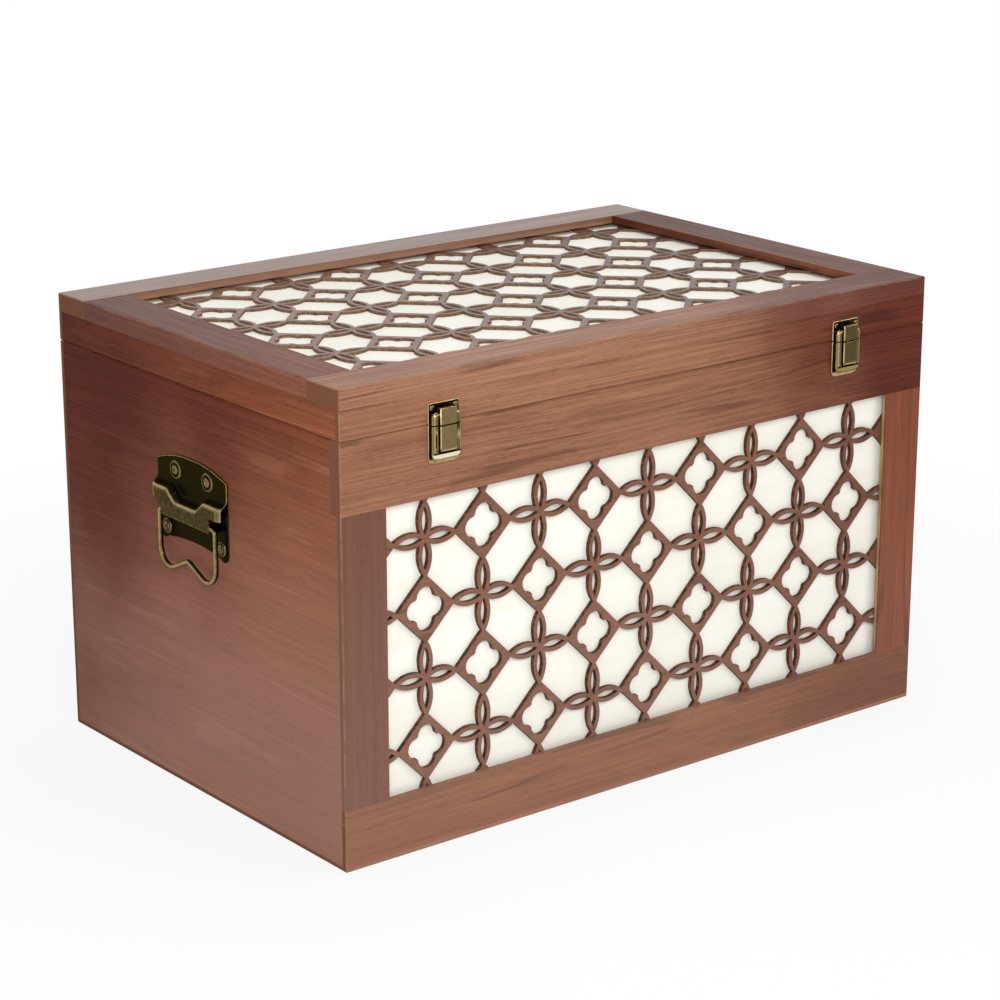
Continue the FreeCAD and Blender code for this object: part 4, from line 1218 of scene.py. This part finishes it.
def add_world(scene, settings):
    """Soft white light, with a darker ceiling for reflections."""
    scene.world = bpy.data.worlds.new("studio")
    scene.world.use_nodes = True
    nodes = Tree(scene.world.node_tree)
    heading = nodes.split(nodes.add("ShaderNodeTexCoord")["Generated"])
    ceiling = nodes.ramp(heading[Z], 0.30, 0.65, 1.0, settings.ceiling)
    path = nodes.add("ShaderNodeLightPath")
    looked_at = nodes.larger(path["Is Camera Ray"], path["Is Transmission Ray"])
    light = nodes.ramp(looked_at, 0, 1, settings.sky, 1.0)
    strength = nodes.add("ShaderNodeMix", {0: path["Is Glossy Ray"], 2: light, 3: ceiling})[0]
    nodes.fill(nodes.tree.nodes["Background"], {"Color": (1, 1, 1, 1), "Strength": strength})


def add_floor(scene, settings):
    """A pale floor that looks white but still takes a shadow close to the trunk."""
    half, below = 8.0, 0.3 * MM
    shaded, white, shaded_glow = 0.35, 0.95, 0.86
    bm = bmesh.new()
    bmesh.ops.create_grid(bm, x_segments=1, y_segments=1, size=half)
    bmesh.ops.translate(bm, vec=UP * -below, verts=bm.verts)
    mesh = to_mesh(bm, "floor")
    material, nodes, shader, place = blank_material("pale_floor")
    nodes.fill(shader, {"Base Color": solid(settings.floor), "Roughness": 0.9, "Specular IOR Level": 0.0})
    share = nodes.ramp(nodes.vector("LENGTH", place)["Value"], shaded, white, shaded_glow, 1.0)
    path = nodes.add("ShaderNodeLightPath")
    seen = nodes.larger(path["Is Camera Ray"], path["Is Glossy Ray"])
    share = nodes.times(nodes.larger(seen, path["Is Transmission Ray"]), share)
    glow = nodes.add("ShaderNodeEmission")[0]
    mix = nodes.add("ShaderNodeMixShader", {0: share, 1: shader.outputs[0], 2: glow})[0]
    nodes.fill(nodes.tree.nodes["Material Output"], {"Surface": mix})
    mesh.materials.append(material)
    floor = bpy.data.objects.new("floor", mesh)
    scene.collection.objects.link(floor)


def add_lamp(scene, name, place, size, power):
    """A round lamp that points at the middle of the trunk."""
    light = bpy.data.lights.new(name, "AREA")
    light.shape = "DISK"
    light.size = size
    light.energy = power
    lamp = bpy.data.objects.new(name, light)
    lamp.location = place
    target = Vector((0, 0, TRUNK_HIGH.z / 2))
    lamp.rotation_euler = (target - place).to_track_quat("-Z", "Y").to_euler()
    scene.collection.objects.link(lamp)


def add_camera(scene, settings):
    """The camera, to the left of the front and a little above."""
    camera = bpy.data.cameras.new("camera")
    camera.lens = settings.lens
    camera.sensor_width = 36.0
    camera.clip_start = 0.05
    obj = bpy.data.objects.new("camera", camera)
    azimuth, elevation = settings.azimuth, settings.elevation
    level = math.cos(elevation)
    look = Vector((math.sin(azimuth) * level, math.cos(azimuth) * level, -math.sin(elevation)))
    obj.location = settings.camera_place
    obj.rotation_euler = look.to_track_quat("-Z", "Y").to_euler()
    scene.collection.objects.link(obj)
    scene.camera = obj


class TRUNK_OT_stage(bpy.types.Operator):
    """Sets up the floor, the soft light and the camera"""

    bl_idname = "trunk.stage"
    bl_label = "Stage"

    def execute(self, context):
        scene = context.scene
        settings = scene.trunk_stage
        scene.view_settings.view_transform = "Standard"
        add_world(scene, settings)
        add_floor(scene, settings)
        for name, place, size, power in (
            ("key_lamp", (-0.95, -1.35, 1.00), 0.9, settings.key_power),
            ("top_lamp", (0.15, 0.10, 1.75), 1.2, settings.top_power),
            ("fill_lamp", (1.10, -1.50, 1.00), 0.9, settings.fill_power),
        ):
            add_lamp(scene, name, Vector(place), size, power)
        add_camera(scene, settings)
        return {"FINISHED"}


OPERATORS = (
    TRUNK_OT_boards, TRUNK_OT_ivory, TRUNK_OT_fretwork, TRUNK_OT_latches, TRUNK_OT_handles,
    TRUNK_OT_hinges, TRUNK_OT_stage,
)
SETTINGS = {
    "trunk_fretwork": FretworkSettings,
    "trunk_wood": WoodSettings,
    "trunk_hardware": HardwareSettings,
    "trunk_stage": StageSettings,
}


class TRUNK_PT_sidebar(bpy.types.Panel):
    """Lists the trunk's pieces and their settings"""

    bl_idname = "TRUNK_PT_sidebar"
    bl_label = "Trunk"
    bl_space_type = "VIEW_3D"
    bl_region_type = "UI"
    bl_category = "Trunk"

    def draw(self, context):
        for operator in OPERATORS:
            self.layout.operator(operator.bl_idname)
        for name, kind in SETTINGS.items():
            box = self.layout.box()
            for prop in kind.__annotations__:
                box.prop(getattr(context.scene, name), prop)


def register():
    for kind in (*SETTINGS.values(), *OPERATORS, TRUNK_PT_sidebar):
        bpy.utils.register_class(kind)
    for name, kind in SETTINGS.items():
        setattr(bpy.types.Scene, name, PointerProperty(type=kind))


def unregister():
    for name in SETTINGS:
        delattr(bpy.types.Scene, name)
    for kind in reversed((*SETTINGS.values(), *OPERATORS, TRUNK_PT_sidebar)):
        bpy.utils.unregister_class(kind)


def main():
    register()
    bpy.ops.trunk.boards()
    bpy.ops.trunk.ivory()
    bpy.ops.trunk.fretwork()
    bpy.ops.trunk.latches()
    bpy.ops.trunk.handles()
    bpy.ops.trunk.hinges()
    bpy.ops.trunk.stage()


if __name__ == "__main__":
    main()
